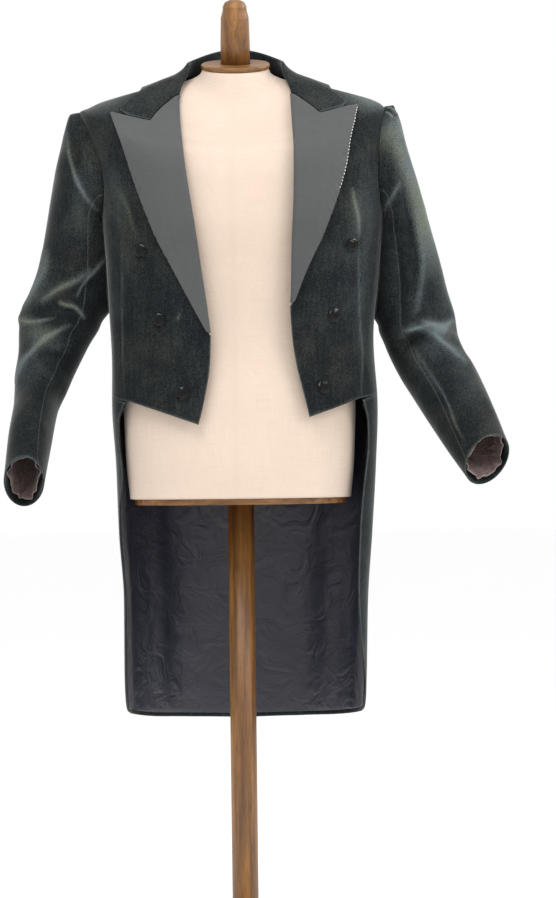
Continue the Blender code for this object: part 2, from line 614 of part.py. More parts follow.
def lapel_patch(side):
    """A lapel from its roll line to its outer edge, as turn and level."""
    roll = np.vstack([roll_edge(side), ROLL_TOP[:1]])
    outer = seen_line(side, LAPEL_OUTER[side], len(roll) - 1, LAPEL_EDGE_LIFT)
    half = LAPEL_ACROSS // 2
    top = seen_line(side, LAPEL_TOP[side], LAPEL_ACROSS - half, GORGE_LIFT)[::-1]
    top[-1] = outer[-1]
    high = joined(spread([ROLL_TOP[0], top[0]], half), top)
    return patch(spread([roll[0], outer[0]], LAPEL_ACROSS), high, roll, outer, LAPEL_HOLD)


def make_lapel(name, side, look):
    grid = lapel_patch(side)
    roll = grid[:, 0]
    across = np.linspace(0, 1, grid.shape[1])[None, :]
    up = np.linspace(0, 1, grid.shape[0])[:, None]
    lift = (LAPEL_LIFT + (LAPEL_EDGE_LIFT - LAPEL_LIFT) * across ** 2 * np.sin(math.pi * up) ** 0.5
            + 0.0015 * np.sin(math.pi * across) * np.sin(math.pi * up))
    outer = cloth(side, grid[..., 0], grid[..., 1], lift)
    inner = cloth(side, grid[..., 0], grid[..., 1], lift - SILK)
    fold_outer, fold_inner = [], []
    turn, level = roll[:, 0], roll[:, 1]
    ahead = cloth(side, turn - 0.5, level) - cloth(side, turn, level)
    along = unit(np.gradient(cloth(side, turn, level), axis=0))
    ahead = unit(ahead - along * np.sum(ahead * along, axis=-1, keepdims=True))
    for (past_out, high_out), (past_in, high_in) in ROLL_FOLD:
        fold_outer.append(cloth(side, turn, level, high_out) + ahead * past_out)
        fold_inner.append(cloth(side, turn, level, high_in) + ahead * past_in)
    outer = np.concatenate([np.stack(fold_outer, axis=1), outer[:, 1:]], axis=1)
    inner = np.concatenate([np.stack(fold_inner, axis=1), inner[:, 1:]], axis=1)
    return wall(name, trimmed(outer, ("high",)), trimmed(inner, ("high",)), look)


# The collar across its width: up the stand, over the roll and down the fall. Each row gives
# a place between the seam and the roll, then heights above the roll and lifts of both faces
STAND = ((0.0, -0.0012, 0.0010), (0.35, -0.0012, 0.0010))
COLLAR_ROLL = (
    ((-0.0022, -0.0012), (-0.0036, 0.0010)),
    ((0.0004, -0.0004), (-0.0022, 0.0013)),
    ((0.0012, 0.0018), (-0.0016, 0.0018)),
    ((0.0002, 0.0038), (-0.0022, 0.0022)),
)
# A stand lower than this has a smaller roll
STAND_FULL = 0.006
FALL_LIFT = 0.0042
FALL_BULGE = 0.0032


def collar_half(side):
    """Both faces of half the collar, from its front end to the centre back."""
    rows = COLLAR_FRONT_ROWS + COLLAR_BACK_ROWS
    corner = seen_line(side, COLLAR_OUTER[side], COLLAR_FRONT_ROWS, GORGE_LIFT)
    edge = joined(corner,
                  spread(np.vstack([corner[-1:], COLLAR_OUTER_BACK]), COLLAR_BACK_ROWS))
    roll = spread(ROLL_TOP, rows)
    seam = monotone(NECK_SEAM)(roll[:, 0])[:, 0]
    share = np.linspace(0, 1, rows + 1)
    faces = ([], [])
    for place, lift_out, lift_in in STAND:
        level = seam + (roll[:, 1] - seam) * place
        faces[0].append(cloth(side, roll[:, 0], level, lift_out))
        faces[1].append(cloth(side, roll[:, 0], level, lift_in))
    tall = np.minimum(1, (roll[:, 1] - seam) / STAND_FULL)
    for offsets in COLLAR_ROLL:
        for face, (rise, lift) in zip(faces, offsets):
            face.append(cloth(side, roll[:, 0], roll[:, 1] + rise * tall, lift))
    for step in range(1, COLLAR_FALL + 1):
        place = step / COLLAR_FALL
        turn = roll[:, 0] + (edge[:, 0] - roll[:, 0]) * place
        level = roll[:, 1] - 0.002 * (1 - place) + (edge[:, 1] - roll[:, 1]) * place
        bulge = FALL_BULGE * math.sin(math.pi * place) * np.minimum(1, 3 * share)
        faces[0].append(cloth(side, turn, level, FALL_LIFT + bulge))
        faces[1].append(cloth(side, turn, level, FALL_LIFT + bulge - 0.0022))
    return [trimmed(np.stack(face, axis=0), ("start",)) for face in faces]


def make_collar(look):
    left_faces, right_faces = collar_half(LEFT), collar_half(RIGHT)
    whole = []
    for left_face, right_face in zip(left_faces, right_faces):
        left_face[:, -1, 0] = 0.0
        whole.append(np.concatenate([left_face, right_face[:, -2::-1]], axis=1))
    return wall("collar", whole[0], whole[1], look)


def sleeve_table(side):
    rows = SLEEVE[side]
    return monotone([(place,) + row for place, row in enumerate(rows)])


def sleeve_ring(side, around, place):
    """A point of the sleeve's plain rings."""
    table = sleeve_table(side)
    out_outer, z_outer, out_inner, z_inner, y, deep = np.moveaxis(table(place), -1, 0)
    ahead, behind = table(place + RUN_REACH), table(place - RUN_REACH)
    change = ahead - behind
    run = unit(np.stack([side * (change[..., 0] + change[..., 2]) / 2,
                         change[..., 4], (change[..., 1] + change[..., 3]) / 2], axis=-1))
    out = np.stack([side * (out_outer - out_inner) / 2, np.zeros_like(y),
                    (z_outer - z_inner) / 2], axis=-1)
    middle = np.stack([side * (out_outer + out_inner) / 2, y, (z_outer + z_inner) / 2], axis=-1)
    bent = smooth_step((place - ELBOW_FROM) / (ELBOW_TO - ELBOW_FROM))[..., None]
    front = unit(np.cross(run, out)) * side * bent - np.array([0.0, 1.0, 0.0]) * (1 - bent)
    front = unit(front)
    angle = np.radians(around)[..., None]
    return middle + out * np.cos(angle) + front * deep[..., None] * np.sin(angle)


def sleeve_point(side, around, place):
    """The outer face of a sleeve: around is 0 outside, 90 in front and 180 next to the body."""
    around, place = np.broadcast_arrays(np.asarray(around, float), np.asarray(place, float))
    ring = sleeve_ring(side, around, place)
    hole = armhole(side, around)
    start = cloth(side, hole[..., 0], hole[..., 1], 0.0004 * (1 - np.cos(np.radians(around))))
    ease = 1 - smooth_step(place / SLEEVE_START)[..., None]
    return ring + (start - sleeve_ring(side, around, np.zeros_like(place))) * ease


def sleeve_cloth(side, around, place):
    """The sleeve with its folds, held in to the coat's body and kept clear of it."""
    around, place = np.broadcast_arrays(np.asarray(around, float), np.asarray(place, float))
    across = sleeve_point(side, around + 1, place) - sleeve_point(side, around - 1, place)
    down = sleeve_point(side, around, place + 0.05) - sleeve_point(side, around, place - 0.05)
    normal = side * unit(np.cross(across, down))
    height = fold_height(SLEEVE_FOLDS, side, around, place)
    point = sleeve_point(side, around, place) + normal * height[..., None]
    held = smooth_step((place - HUG_FROM) / 1.5) * (1 - smooth_step(place - HUG_TO[side]))
    point[..., 0] -= side * HUG * np.clip(-2 * np.cos(np.radians(around)) - 1, 0, 1) * held
    front, back = np.moveaxis(body_table(point[..., 2]), -1, 0)[4:6]
    wide = np.moveaxis(body_table(point[..., 2]), -1, 0)[3 if side == LEFT else 2]
    deep = np.where(point[..., 1] < 0, front, back)
    inside = np.clip(1 - (np.abs(point[..., 1]) / deep) ** 2.35, 0, 1)
    least = wide * inside ** (1 / 2.35) + SLEEVE_CLEAR
    below = np.clip((place - 0.5) / 0.5, 0, 1)
    short = np.maximum(least - side * point[..., 0], 0) * below * (point[..., 2] < 1.30)
    point[..., 0] += side * short
    return point


def sleeve_faces(side, around, place, thick, lift=0.0):
    """Outer and inner face of a sleeve over a grid."""
    past = np.maximum(place, 0.4)
    across = sleeve_cloth(side, around + 1, past) - sleeve_cloth(side, around - 1, past)
    down = sleeve_cloth(side, around, past + 0.05) - sleeve_cloth(side, around, past - 0.05)
    normal = side * unit(np.cross(across, down))
    outer = sleeve_cloth(side, around, place) + normal * lift
    return outer, outer - normal * thick


def make_sleeve(name, side, first, last, look):
    count = int(round((last - first) / ARMHOLE_STEP))
    around = np.linspace(first, last, count + 1)[None, :]
    place = np.linspace(0, len(SLEEVE[side]) - 1, SLEEVE_ROWS + 1)[:, None]
    outer, inner = sleeve_faces(side, around, place, VELVET)
    sides = ("low", "start", "end")
    return wall(name, trimmed(outer, sides), trimmed(inner, sides), look)


def make_cuff_lining(name, side, look):
    around = np.arange(0, 360, ARMHOLE_STEP)[None, :]
    last = len(SLEEVE[side]) - 1
    place = last - last / SLEEVE_ROWS * np.array([2, 1, 0])[:, None]
    faces = sleeve_faces(side, around, place, LINING, -VELVET - LINING_GAP)
    for face in faces:
        face[0] = face[1] + (face[0] - face[1]) * CUFF_LINING_DEEP
        face[2] += (face[1] - face[2]) * CUFF_LINING_SHORT
    return wall(name, *faces, look, ring=True)


def make_button(name, side, turn, level, panel, look):
    """A button that stands on the flat of a panel's face."""
    axis = outward(cloth, side, np.array(turn), np.array(level))
    above = cloth(side, turn, level, 2 * BUTTON_RADIUS)
    mesh = panel.data
    tree = BVHTree.FromPolygons([point.co for point in mesh.vertices],
                                [face.vertices for face in mesh.polygons])
    seat, facing = tree.ray_cast(above, -axis)[:2]
    axis = unit(axis + np.array(facing))
    foot = np.array(seat) + axis * LAYER_GAP
    rings = turned(BUTTON_PROFILE, BUTTON_SIDES, foot, axis)
    half = math.pi / BUTTON_SIDES
    rings[4] = turned(BUTTON_PROFILE[4:5], BUTTON_SIDES, foot, axis, half)[0]
    return solid_of_rings(name, rings, look)


def form_ring(level):
    z_front, z_back, wide, front, back, square, arch = form_table(level)
    turn = np.linspace(0, 2 * math.pi, FORM_AROUND, endpoint=False)
    cosine, sine = np.cos(turn), np.sin(turn)
    power = 2 / square
    bend = arch * cosine ** 2 + (1 - arch) * np.abs(cosine) ** power
    return np.stack([wide * signed_power(sine, power),
                     -np.where(cosine > 0, front, back) * signed_power(cosine, power),
                     level + (np.where(cosine > 0, z_front, z_back) - level) * bend], axis=-1)


def make_form(linen, wood):
    low = np.linspace(FORM[0][0], 1.38, 12)
    high = np.array([row[0] for row in FORM if row[0] > 1.40])
    solid_of_rings("form_torso", [form_ring(level) for level in np.concatenate([low, high])], linen)
    board = form_ring(FORM[0][0]) * BOARD_SHARE
    lower = FORM[0][0] - LAYER_GAP
    board[:, 2] = lower
    under = board - np.array([0, 0, BOARD_THICK])
    solid_of_rings("form_board", [under, board], wood)
    tilt = np.array([0, -math.sin(NECK_TILT), math.cos(NECK_TILT)])
    disc_foot = np.array([0, 0, DISC_FOOT])
    disc = ((DISC_RADIUS - 0.0015, 0.0), (DISC_RADIUS, 0.0015), (DISC_RADIUS, DISC_THICK - 0.0015),
            (DISC_RADIUS - 0.0015, DISC_THICK))
    solid_of_rings("neck_disc", turned(disc, ROUND_SIDES, disc_foot, tilt), wood)
    peg_foot = disc_foot + tilt * (DISC_THICK + LAYER_GAP)
    solid_of_rings("neck_peg", turned(PEG_PROFILE, 24, peg_foot, tilt), wood)
    solid_of_rings("stand_foot", turned(FOOT_PROFILE, ROUND_SIDES, (0, 0, 0)), wood)
    socket_foot = FOOT_PROFILE[-1][1] + LAYER_GAP
    solid_of_rings("stand_socket", turned(SOCKET_PROFILE, 24, (0, 0, socket_foot)), wood)
    pole_foot = socket_foot + SOCKET_PROFILE[-1][1] + LAYER_GAP
    pole_head = lower - BOARD_THICK - LAYER_GAP
    pole = ((POLE_RADIUS, 0.0), (POLE_RADIUS, pole_head - pole_foot))
    solid_of_rings("stand_pole", turned(pole, 24, (0, 0, pole_foot)), wood)


def main():
    for old in list(bpy.data.objects):
        bpy.data.objects.remove(old)
    velvet = material("velvet", "2b3634", 0.75)
    silk = material("ribbed_silk", "6f7272", 0.6)
    tail_satin = material("tail_satin", "23242f", 0.4)
    cuff_satin = material("cuff_satin", "867370", 0.4)
    glass = material("black_glass", "101012", 0.1)
    linen = material("linen", "efdcc4", 0.85)
    wood = material("turned_wood", "b17c49", 0.5)
    fronts, sides = {}, {}
    for word, side in (("left", LEFT), ("right", RIGHT)):
        fronts[side] = body_wall(f"front_{word}", side, front_patch(side), ("high", "end"), velvet)
        sides[side] = body_wall(f"side_{word}", side, side_patch(side),
                                ("low", "high", "start", "end"), velvet)
        make_back(f"back_{word}", side, velvet)
        body_wall(f"tail_{word}", side, tail_patch(side), ("high", "end"), velvet)
        make_tail_lining(f"tail_lining_{word}", side, tail_satin)
        make_lapel(f"lapel_{word}", side, silk)
        make_sleeve(f"top_sleeve_{word}", side, HIND_ARM_SEAM - 360, FRONT_ARM_SEAM, velvet)
        make_sleeve(f"under_sleeve_{word}", side, FRONT_ARM_SEAM, HIND_ARM_SEAM, velvet)
        make_cuff_lining(f"cuff_lining_{word}", side, cuff_satin)
    make_collar(velvet)
    for word, side, out, z in FRONT_BUTTONS:
        (turn, level), = on_cloth(side, [(out, z)], 0.005)
        make_button(f"button_{word}", side, turn, level, fronts[side], glass)
    for word, side, turn, level in BACK_BUTTONS:
        make_button(f"button_{word}", side, turn, level, sides[side], glass)
    make_form(linen, wood)


main()
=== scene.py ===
import math

import bmesh
import bpy
import numpy as np
from mathutils import Matrix, Vector


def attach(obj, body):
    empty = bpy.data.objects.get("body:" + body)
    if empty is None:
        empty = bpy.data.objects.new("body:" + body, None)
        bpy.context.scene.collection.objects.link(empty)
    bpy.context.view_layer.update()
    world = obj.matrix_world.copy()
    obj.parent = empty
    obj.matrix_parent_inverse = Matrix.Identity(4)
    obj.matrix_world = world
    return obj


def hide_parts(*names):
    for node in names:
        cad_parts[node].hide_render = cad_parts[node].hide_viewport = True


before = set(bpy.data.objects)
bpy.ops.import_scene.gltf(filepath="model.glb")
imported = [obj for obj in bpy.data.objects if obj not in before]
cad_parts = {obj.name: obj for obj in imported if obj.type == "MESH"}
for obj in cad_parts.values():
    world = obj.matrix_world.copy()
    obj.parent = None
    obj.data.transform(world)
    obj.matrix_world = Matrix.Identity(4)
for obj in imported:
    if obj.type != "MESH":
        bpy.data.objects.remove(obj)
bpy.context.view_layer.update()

# The looks of the tailcoat on its dress form. Metres, +Z up; the coat faces -Y and the
# wearer's left is +X. The tables down to the form's are the same as in the part's source;
# of the sizes among them only SEAM_GAP is smaller here.
VELVET = 0.0020
SILK = 0.0022
LINING = 0.0012
SEAM_GAP = 0.0002
LAYER_GAP = 0.0005
LINING_GAP = 0.0012
PAST_EDGE = 0.003
METRES_A_DEGREE = 0.0033
LEFT, RIGHT = 1, -1

# The coat's body as level rings round the form. level is the height at the side, where the
# ring is widest; z_front and z_back are its heights in front and behind.
BODY_COLUMNS = ("level", "z_front", "z_back", "wide_right", "wide_left",
                "deep_front", "deep_back", "square")
BODY = (
    (0.500, 0.500, 0.500, 0.1700, 0.1760, 0.100, 0.165, 2.2),
    (0.600, 0.600, 0.600, 0.1715, 0.1800, 0.101, 0.165, 2.2),
    (0.700, 0.700, 0.700, 0.1710, 0.1830, 0.104, 0.163, 2.2),
    (0.800, 0.800, 0.800, 0.1770, 0.1905, 0.111, 0.158, 2.2),
    (0.900, 0.900, 0.900, 0.1800, 0.1970, 0.119, 0.150, 2.3),
    (0.985, 0.985, 0.985, 0.1855, 0.2005, 0.123, 0.140, 2.3),
    (1.080, 1.080, 1.080, 0.1870, 0.1970, 0.118, 0.113, 2.3),
    (1.170, 1.170, 1.170, 0.1895, 0.2040, 0.125, 0.120, 2.3),
    (1.250, 1.248, 1.250, 0.1955, 0.2110, 0.131, 0.133, 2.4),
    (1.330, 1.305, 1.325, 0.2070, 0.2150, 0.127, 0.139, 2.4),
    (1.385, 1.338, 1.372, 0.2200, 0.2155, 0.118, 0.136, 2.4),
    (1.4085, 1.352, 1.396, 0.2260, 0.2155, 0.106, 0.127, 2.4),
    (1.4145, 1.357, 1.404, 0.2130, 0.2110, 0.104, 0.124, 2.4),
    (1.422, 1.363, 1.413, 0.1970, 0.1970, 0.101, 0.119, 2.35),
    (1.429, 1.371, 1.423, 0.1750, 0.1750, 0.097, 0.112, 2.3),
    (1.436, 1.380, 1.434, 0.1500, 0.1500, 0.092, 0.102, 2.25),
    (1.447, 1.393, 1.451, 0.1120, 0.1120, 0.082, 0.085, 2.15),
    (1.457, 1.405, 1.468, 0.0830, 0.0830, 0.070, 0.068, 2.1),
    (1.470, 1.420, 1.487, 0.0700, 0.0700, 0.061, 0.064, 2.05),
    (1.485, 1.437, 1.505, 0.0645, 0.0645, 0.056, 0.061, 2.0),
    (1.500, 1.455, 1.523, 0.0625, 0.0625, 0.054, 0.060, 2.0),
)

# Soft folds of the coat's body: turn is 0 in front, 90 at the side and 180 behind
FOLD_COLUMNS = ("side", "turn", "level", "turn_reach", "level_reach", "slant", "height")
FOLDS = (
    (LEFT, 50, 1.245, 5.0, 0.075, 30, 0.0040),
    (RIGHT, 54, 1.265, 5.0, 0.070, 25, 0.0030),
    (LEFT, 116, 0.720, 8.0, 0.190, 6, 0.0070),
    (RIGHT, 112, 0.700, 8.0, 0.180, -5, 0.0070),
    (LEFT, 137, 0.680, 8.0, 0.200, 4, -0.0060),
    (RIGHT, 134, 0.690, 8.0, 0.210, -4, -0.0060),
    (LEFT, 84, 1.060, 11.0, 0.060, 10, -0.0025),
    (RIGHT, 86, 1.050, 11.0, 0.060, -10, -0.0025),
    (LEFT, 150, 1.300, 12.0, 0.070, 0, 0.0030),
    (RIGHT, 150, 1.290, 12.0, 0.070, 0, 0.0030),
)

# Armhole: an oval in turn and level
ARMHOLE = {
    RIGHT: {"turn": 92.0, "level": 1.3280, "turn_reach": 25.0, "level_reach": 0.0815},
    LEFT: {"turn": 92.0, "level": 1.3300, "turn_reach": 23.0, "level_reach": 0.0825},
}
SIDE_SEAM_AT = 135
BACK_SEAM_AT = 240
SHOULDER_SEAM = ((94.0, 1.436), (96.0, 1.457))

# Front edge and roll line as seen from the front: x out from the middle, and z
FRONT_EDGE = {
    RIGHT: ((0.0569, 0.9533), (0.0506, 0.9772), (0.0448, 1.0053), (0.0402, 1.0330),
            (0.0386, 1.0610), (0.0380, 1.0829)),
    LEFT: ((0.1001, 0.9625), (0.0973, 0.9755), (0.0906, 1.0038), (0.0827, 1.0372),
           (0.0776, 1.0709), (0.0751, 1.1055), (0.0746, 1.1242)),
}
ROLL_LINE = {
    RIGHT: ((0.0380, 1.0829), (0.0395, 1.0942), (0.0433, 1.1252), (0.0509, 1.1778),
            (0.0558, 1.2152), (0.0610, 1.2511), (0.0688, 1.3014), (0.0741, 1.3443),
            (0.0785, 1.3894), (0.0800, 1.4150)),
    LEFT: ((0.0746, 1.1242), (0.0755, 1.1351), (0.0767, 1.1709), (0.0778, 1.2122),
           (0.0796, 1.2438), (0.0814, 1.2858), (0.0821, 1.3428), (0.0801, 1.3874),
           (0.0789, 1.4150)),
}
LOWER_EDGE = {
    RIGHT: ((0.0569, 0.9533), (0.1044, 0.9702), (0.1544, 0.9875)),
    LEFT: ((0.1001, 0.9625), (0.1365, 0.9752), (0.1741, 0.9894)),
}
LAPEL_OUTER = {
    RIGHT: ((0.0451, 1.0852), (0.0531, 1.1000), (0.0737, 1.1389), (0.0955, 1.1811),
            (0.1147, 1.2186), (0.1256, 1.2451), (0.1449, 1.2973), (0.1616, 1.3495),
            (0.1800, 1.4042)),
    LEFT: ((0.0821, 1.1264), (0.0851, 1.1335), (0.0967, 1.1635), (0.1111, 1.1945),
           (0.1196, 1.2111), (0.1326, 1.2430), (0.1455, 1.2776), (0.1576, 1.3203),
           (0.1654, 1.3632), (0.1763, 1.4110)),
}
LAPEL_TOP = {
    RIGHT: ((0.1800, 1.4042), (0.1603, 1.3985), (0.1382, 1.3924), (0.1207, 1.3881)),
    LEFT: ((0.1763, 1.4110), (0.1573, 1.4073), (0.1381, 1.4020), (0.1202, 1.3969)),
}
COLLAR_OUTER = {
    RIGHT: ((0.1207, 1.3893), (0.1382, 1.3936), (0.1560, 1.3990), (0.1650, 1.4060)),
    LEFT: ((0.1202, 1.3981), (0.1381, 1.4032), (0.1535, 1.4075), (0.1590, 1.4140)),
}
COLLAR_OUTER_BACK = ((64.0, 1.4330), (76.0, 1.4390), (90.0, 1.4405), (120.0, 1.4405),
                     (150.0, 1.4425), (180.0, 1.4450))
ROLL_TOP = ((49.0, 1.4490), (61.0, 1.4550), (75.0, 1.4700), (90.0, 1.4780),
            (120.0, 1.4825), (180.0, 1.4850))
NECK_SEAM = ((49.0, 1.4460), (61.0, 1.4497), (75.0, 1.4570), (90.0, 1.4590), (180.0, 1.4592))
NECKLINE = ((58.0, 1.4445), (75.0, 1.4520), (96.0, 1.4570))
BLADE_LEVEL, NECK_LEVEL = 1.300, 1.457

# Seams behind: the side body meets the back along BACK_SEAM, the tail along PLEAT
SIDE_SEAM_FOOT = (80.0, 0.995)
BACK_SEAM = ((164.0, 1.005), (158.0, 1.080), (146.0, 1.160), (130.0, 1.235))
PLEAT = ((154.0, 0.519), (157.0, 0.650), (161.0, 0.830), (164.0, 1.005))
WAIST_FRONT = (70.0, 0.9915)
WAIST_SEAM = ((80.0, 0.995), (110.0, 1.001), (140.0, 1.004), (164.0, 1.005))
TAIL_EDGE = {
    RIGHT: ((106.0, 0.5330), (97.0, 0.5400), (92.0, 0.5560), (89.0, 0.5900), (88.0, 0.6700),
            (86.0, 0.7600), (80.0, 0.8300), (70.0, 0.8850), (72.0, 0.9250), (69.5, 0.9600),
            (60.0, 0.9870)),
    LEFT: ((104.0, 0.5330), (95.0, 0.5420), (88.0, 0.5650), (78.0, 0.6050), (70.0, 0.6600),
           (65.0, 0.7400), (63.5, 0.8150), (65.5, 0.8780), (68.0, 0.9200), (66.0, 0.9600),
           (60.5, 0.9870)),
}
HEM = ((106.0, 0.5330), (128.0, 0.5240), (154.0, 0.5190), (180.0, 0.5160))
CENTRE_BACK_GAP = 0.0006
LINING_INSET = 0.006
LINING_INSET_TURN = 1.6

# Sleeves: rings from the armhole to the cuff, by the outer and inner points that show from
# the front, the middle's y and half the depth from front to back
SLEEVE_COLUMNS = ("out_outer", "z_outer", "out_inner", "z_inner", "y", "half_depth")
SLEEVE = {
    RIGHT: (
        (0.2260, 1.4095, 0.1955, 1.2470, 0.010, 0.066),
        (0.2395, 1.4070, 0.1962, 1.2430, 0.008, 0.068),
        (0.2504, 1.3780, 0.1973, 1.2360, 0.008, 0.069),
        (0.2613, 1.3350, 0.1971, 1.2260, 0.010, 0.070),
        (0.2704, 1.2880, 0.1958, 1.2090, 0.014, 0.069),
        (0.2781, 1.2450, 0.1943, 1.1850, 0.018, 0.067),
        (0.2851, 1.2100, 0.1935, 1.1550, 0.024, 0.065),
        (0.2929, 1.1800, 0.1948, 1.1270, 0.030, 0.063),
        (0.3035, 1.1496, 0.2035, 1.0985, 0.036, 0.061),
        (0.3200, 1.1163, 0.2175, 1.0760, 0.040, 0.059),
        (0.3225, 1.0661, 0.2375, 1.0371, 0.036, 0.058),
        (0.3270, 1.0261, 0.2515, 1.0065, 0.022, 0.057),
        (0.3275, 0.9868, 0.2635, 0.9794, 0.002, 0.056),
        (0.3320, 0.9345, 0.2700, 0.9290, -0.052, 0.056),
        (0.3345, 0.8830, 0.2775, 0.8690, -0.098, 0.053),
    ),
    LEFT: (
        (0.2125, 1.4125, 0.2110, 1.2475, 0.010, 0.066),
        (0.2260, 1.4150, 0.2118, 1.2440, 0.008, 0.068),
        (0.2375, 1.3920, 0.2133, 1.2380, 0.008, 0.069),
        (0.2471, 1.3550, 0.2140, 1.2290, 0.010, 0.070),
        (0.2600, 1.3120, 0.2128, 1.2150, 0.012, 0.070),
        (0.2715, 1.2720, 0.2112, 1.1950, 0.016, 0.068),
        (0.2821, 1.2360, 0.2093, 1.1700, 0.021, 0.066),
        (0.2909, 1.2050, 0.2072, 1.1450, 0.027, 0.064),
        (0.2977, 1.1780, 0.2043, 1.1190, 0.033, 0.062),
        (0.3047, 1.1484, 0.2040, 1.0930, 0.037, 0.061),
        (0.3160, 1.1100, 0.2120, 1.0700, 0.040, 0.059),
        (0.3195, 1.0837, 0.2200, 1.0500, 0.036, 0.057),
        (0.3300, 1.0566, 0.2327, 1.0236, 0.024, 0.055),
        (0.3455, 1.0260, 0.2505, 0.9928, 0.004, 0.052),
        (0.3615, 0.9841, 0.2740, 0.9515, -0.038, 0.048),
        (0.3700, 0.9575, 0.2985, 0.9100, -0.070, 0.045),
        (0.3765, 0.9300, 0.3265, 0.8685, -0.100, 0.042),
    ),
}
FRONT_ARM_SEAM = 120
HIND_ARM_SEAM = 255
SLEEVE_CLEAR = 0.0016
ARMHOLE_LIFT = 0.0004
CLEAR_SQUARE, CLEAR_BELOW = 2.35, 1.30
RUN_REACH = 2.0
SLEEVE_START = 3.0
ELBOW_FROM, ELBOW_TO = 5.0, 9.0
HUG = 0.012
HUG_FROM = 1.4
HUG_TO = {RIGHT: 6.8, LEFT: 8.0}
SLEEVE_FOLD_COLUMNS = ("side", "around", "place", "around_reach", "place_reach", "slant", "height")
SLEEVE_FOLDS = (
    (RIGHT, 60, 2.2, 16, 1.0, 10, -0.0040),
    (RIGHT, 75, 8.6, 30, 0.45, 0, -0.0060),
    (RIGHT, 85, 9.6, 34, 0.40, 0, 0.0050),
    (RIGHT, 110, 10.4, 30, 0.40, 0, -0.0050),
    (RIGHT, 30, 9.2, 22, 0.50, 0, 0.0040),
    (RIGHT, 70, 13.4, 30, 0.45, 0, -0.0040),
    (LEFT, 78, 5.2, 12, 2.6, 2, -0.0060),
    (LEFT, 40, 4.6, 18, 2.2, 0, 0.0040),
    (LEFT, 95, 10.2, 32, 0.45, 0, 0.0050),
    (LEFT, 105, 11.1, 34, 0.45, 0, -0.0060),
    (LEFT, 55, 11.3, 24, 0.50, 0, 0.0050),
    (LEFT, 95, 12.4, 32, 0.45, 0, 0.0040),
    (LEFT, 250, 10.6, 34, 0.55, 0, 0.0040),
    (RIGHT, 250, 9.4, 34, 0.55, 0, 0.0040),
)

# The dress form, as rings like the body's; arch is 1 for a ring that dips or lifts as an
# arch and 0 for one that tilts flat
FORM_COLUMNS = ("level", "z_front", "z_back", "wide", "deep_front", "deep_back", "square", "arch")
FORM = (
    (0.8480, 0.8480, 0.8480, 0.1600, 0.103, 0.118, 2.3, 1),
    (0.9000, 0.9000, 0.9000, 0.1650, 0.107, 0.126, 2.3, 1),
    (0.9850, 0.9850, 0.9850, 0.1680, 0.108, 0.126, 2.3, 1),
    (1.0800, 1.0800, 1.0800, 0.1500, 0.096, 0.099, 2.3, 1),
    (1.1700, 1.1700, 1.1700, 0.1580, 0.106, 0.106, 2.3, 1),
    (1.2500, 1.2480, 1.2500, 0.1720, 0.116, 0.119, 2.4, 1),
    (1.3280, 1.3020, 1.3220, 0.1850, 0.114, 0.125, 2.4, 1),
    (1.3820, 1.3340, 1.3680, 0.1970, 0.106, 0.123, 2.4, 1),
    (1.4060, 1.3480, 1.3920, 0.2060, 0.097, 0.116, 2.4, 1),
    (1.4190, 1.3575, 1.4080, 0.1950, 0.093, 0.109, 2.35, 1),
    (1.4252, 1.3650, 1.4160, 0.1735, 0.088, 0.101, 2.3, 1),
    (1.4312, 1.3740, 1.4245, 0.1475, 0.084, 0.089, 2.25, 1),
    (1.4425, 1.3875, 1.4400, 0.1105, 0.075, 0.075, 2.15, 1),
    (1.4503, 1.4000, 1.4540, 0.0810, 0.065, 0.065, 2.1, 0.8),
    (1.4570, 1.4160, 1.4640, 0.0610, 0.056, 0.057, 2.05, 0.4),
    (1.4630, 1.4440, 1.4740, 0.0510, 0.050, 0.051, 2.0, 0.1),
    (1.4700, 1.4571, 1.4829, 0.0480, 0.048, 0.048, 2.0, 0),
)
BOARD_THICK = 0.008
NECK_TILT = math.radians(15)
DISC_RADIUS = 0.050
DISC_THICK = 0.0070
DISC_FOOT = 1.4706
PEG_PROFILE = ((0.0215, 0.0), (0.0212, 0.030), (0.0202, 0.066), (0.0180, 0.074), (0.0172, 0.078),
               (0.0172, 0.082), (0.0140, 0.088), (0.0070, 0.0915))
POLE_RADIUS = 0.019
FOOT_PROFILE = ((0.2050, 0.0), (0.2100, 0.006), (0.2100, 0.020), (0.2040, 0.027), (0.0600, 0.033))
SOCKET_PROFILE = ((0.0380, 0.0), (0.0380, 0.012), (0.0310, 0.022), (0.0290, 0.046), (0.0265, 0.050))
DISC_EDGE, DISC_TOP = 0.0015, 0.030
CORNER_ROUND, FOOT_ROUND, SOCKET_ROUND = 0.0012, 0.004, 0.003

# Most of the source's grid steps are drawn in this many finer ones, and those of the
# armholes and the sleeves in more
FINE = 8
FORM_AROUND, FORM_RINGS, LATHE_SIDES = 168, 181, 96
ARMHOLE_STEP = 12 / FINE
FRONT_ACROSS, NECK_ACROSS, TAIL_ACROSS = 8 * FINE, 2 * FINE, 8 * FINE
SIDE_ROWS, TAIL_ROWS, EDGE_ROWS, NECK_ROWS = 8 * FINE, 12 * FINE, 4 * FINE, 3 * FINE
LAPEL_ACROSS = 6 * FINE
COLLAR_FALL, COLLAR_FRONT_ROWS, COLLAR_BACK_ROWS = 4 * FINE, 5 * FINE, 7 * FINE
SLEEVE_ROWS = 22 * FINE
BACK_HOLD = 6
LAPEL_HOLD = 4

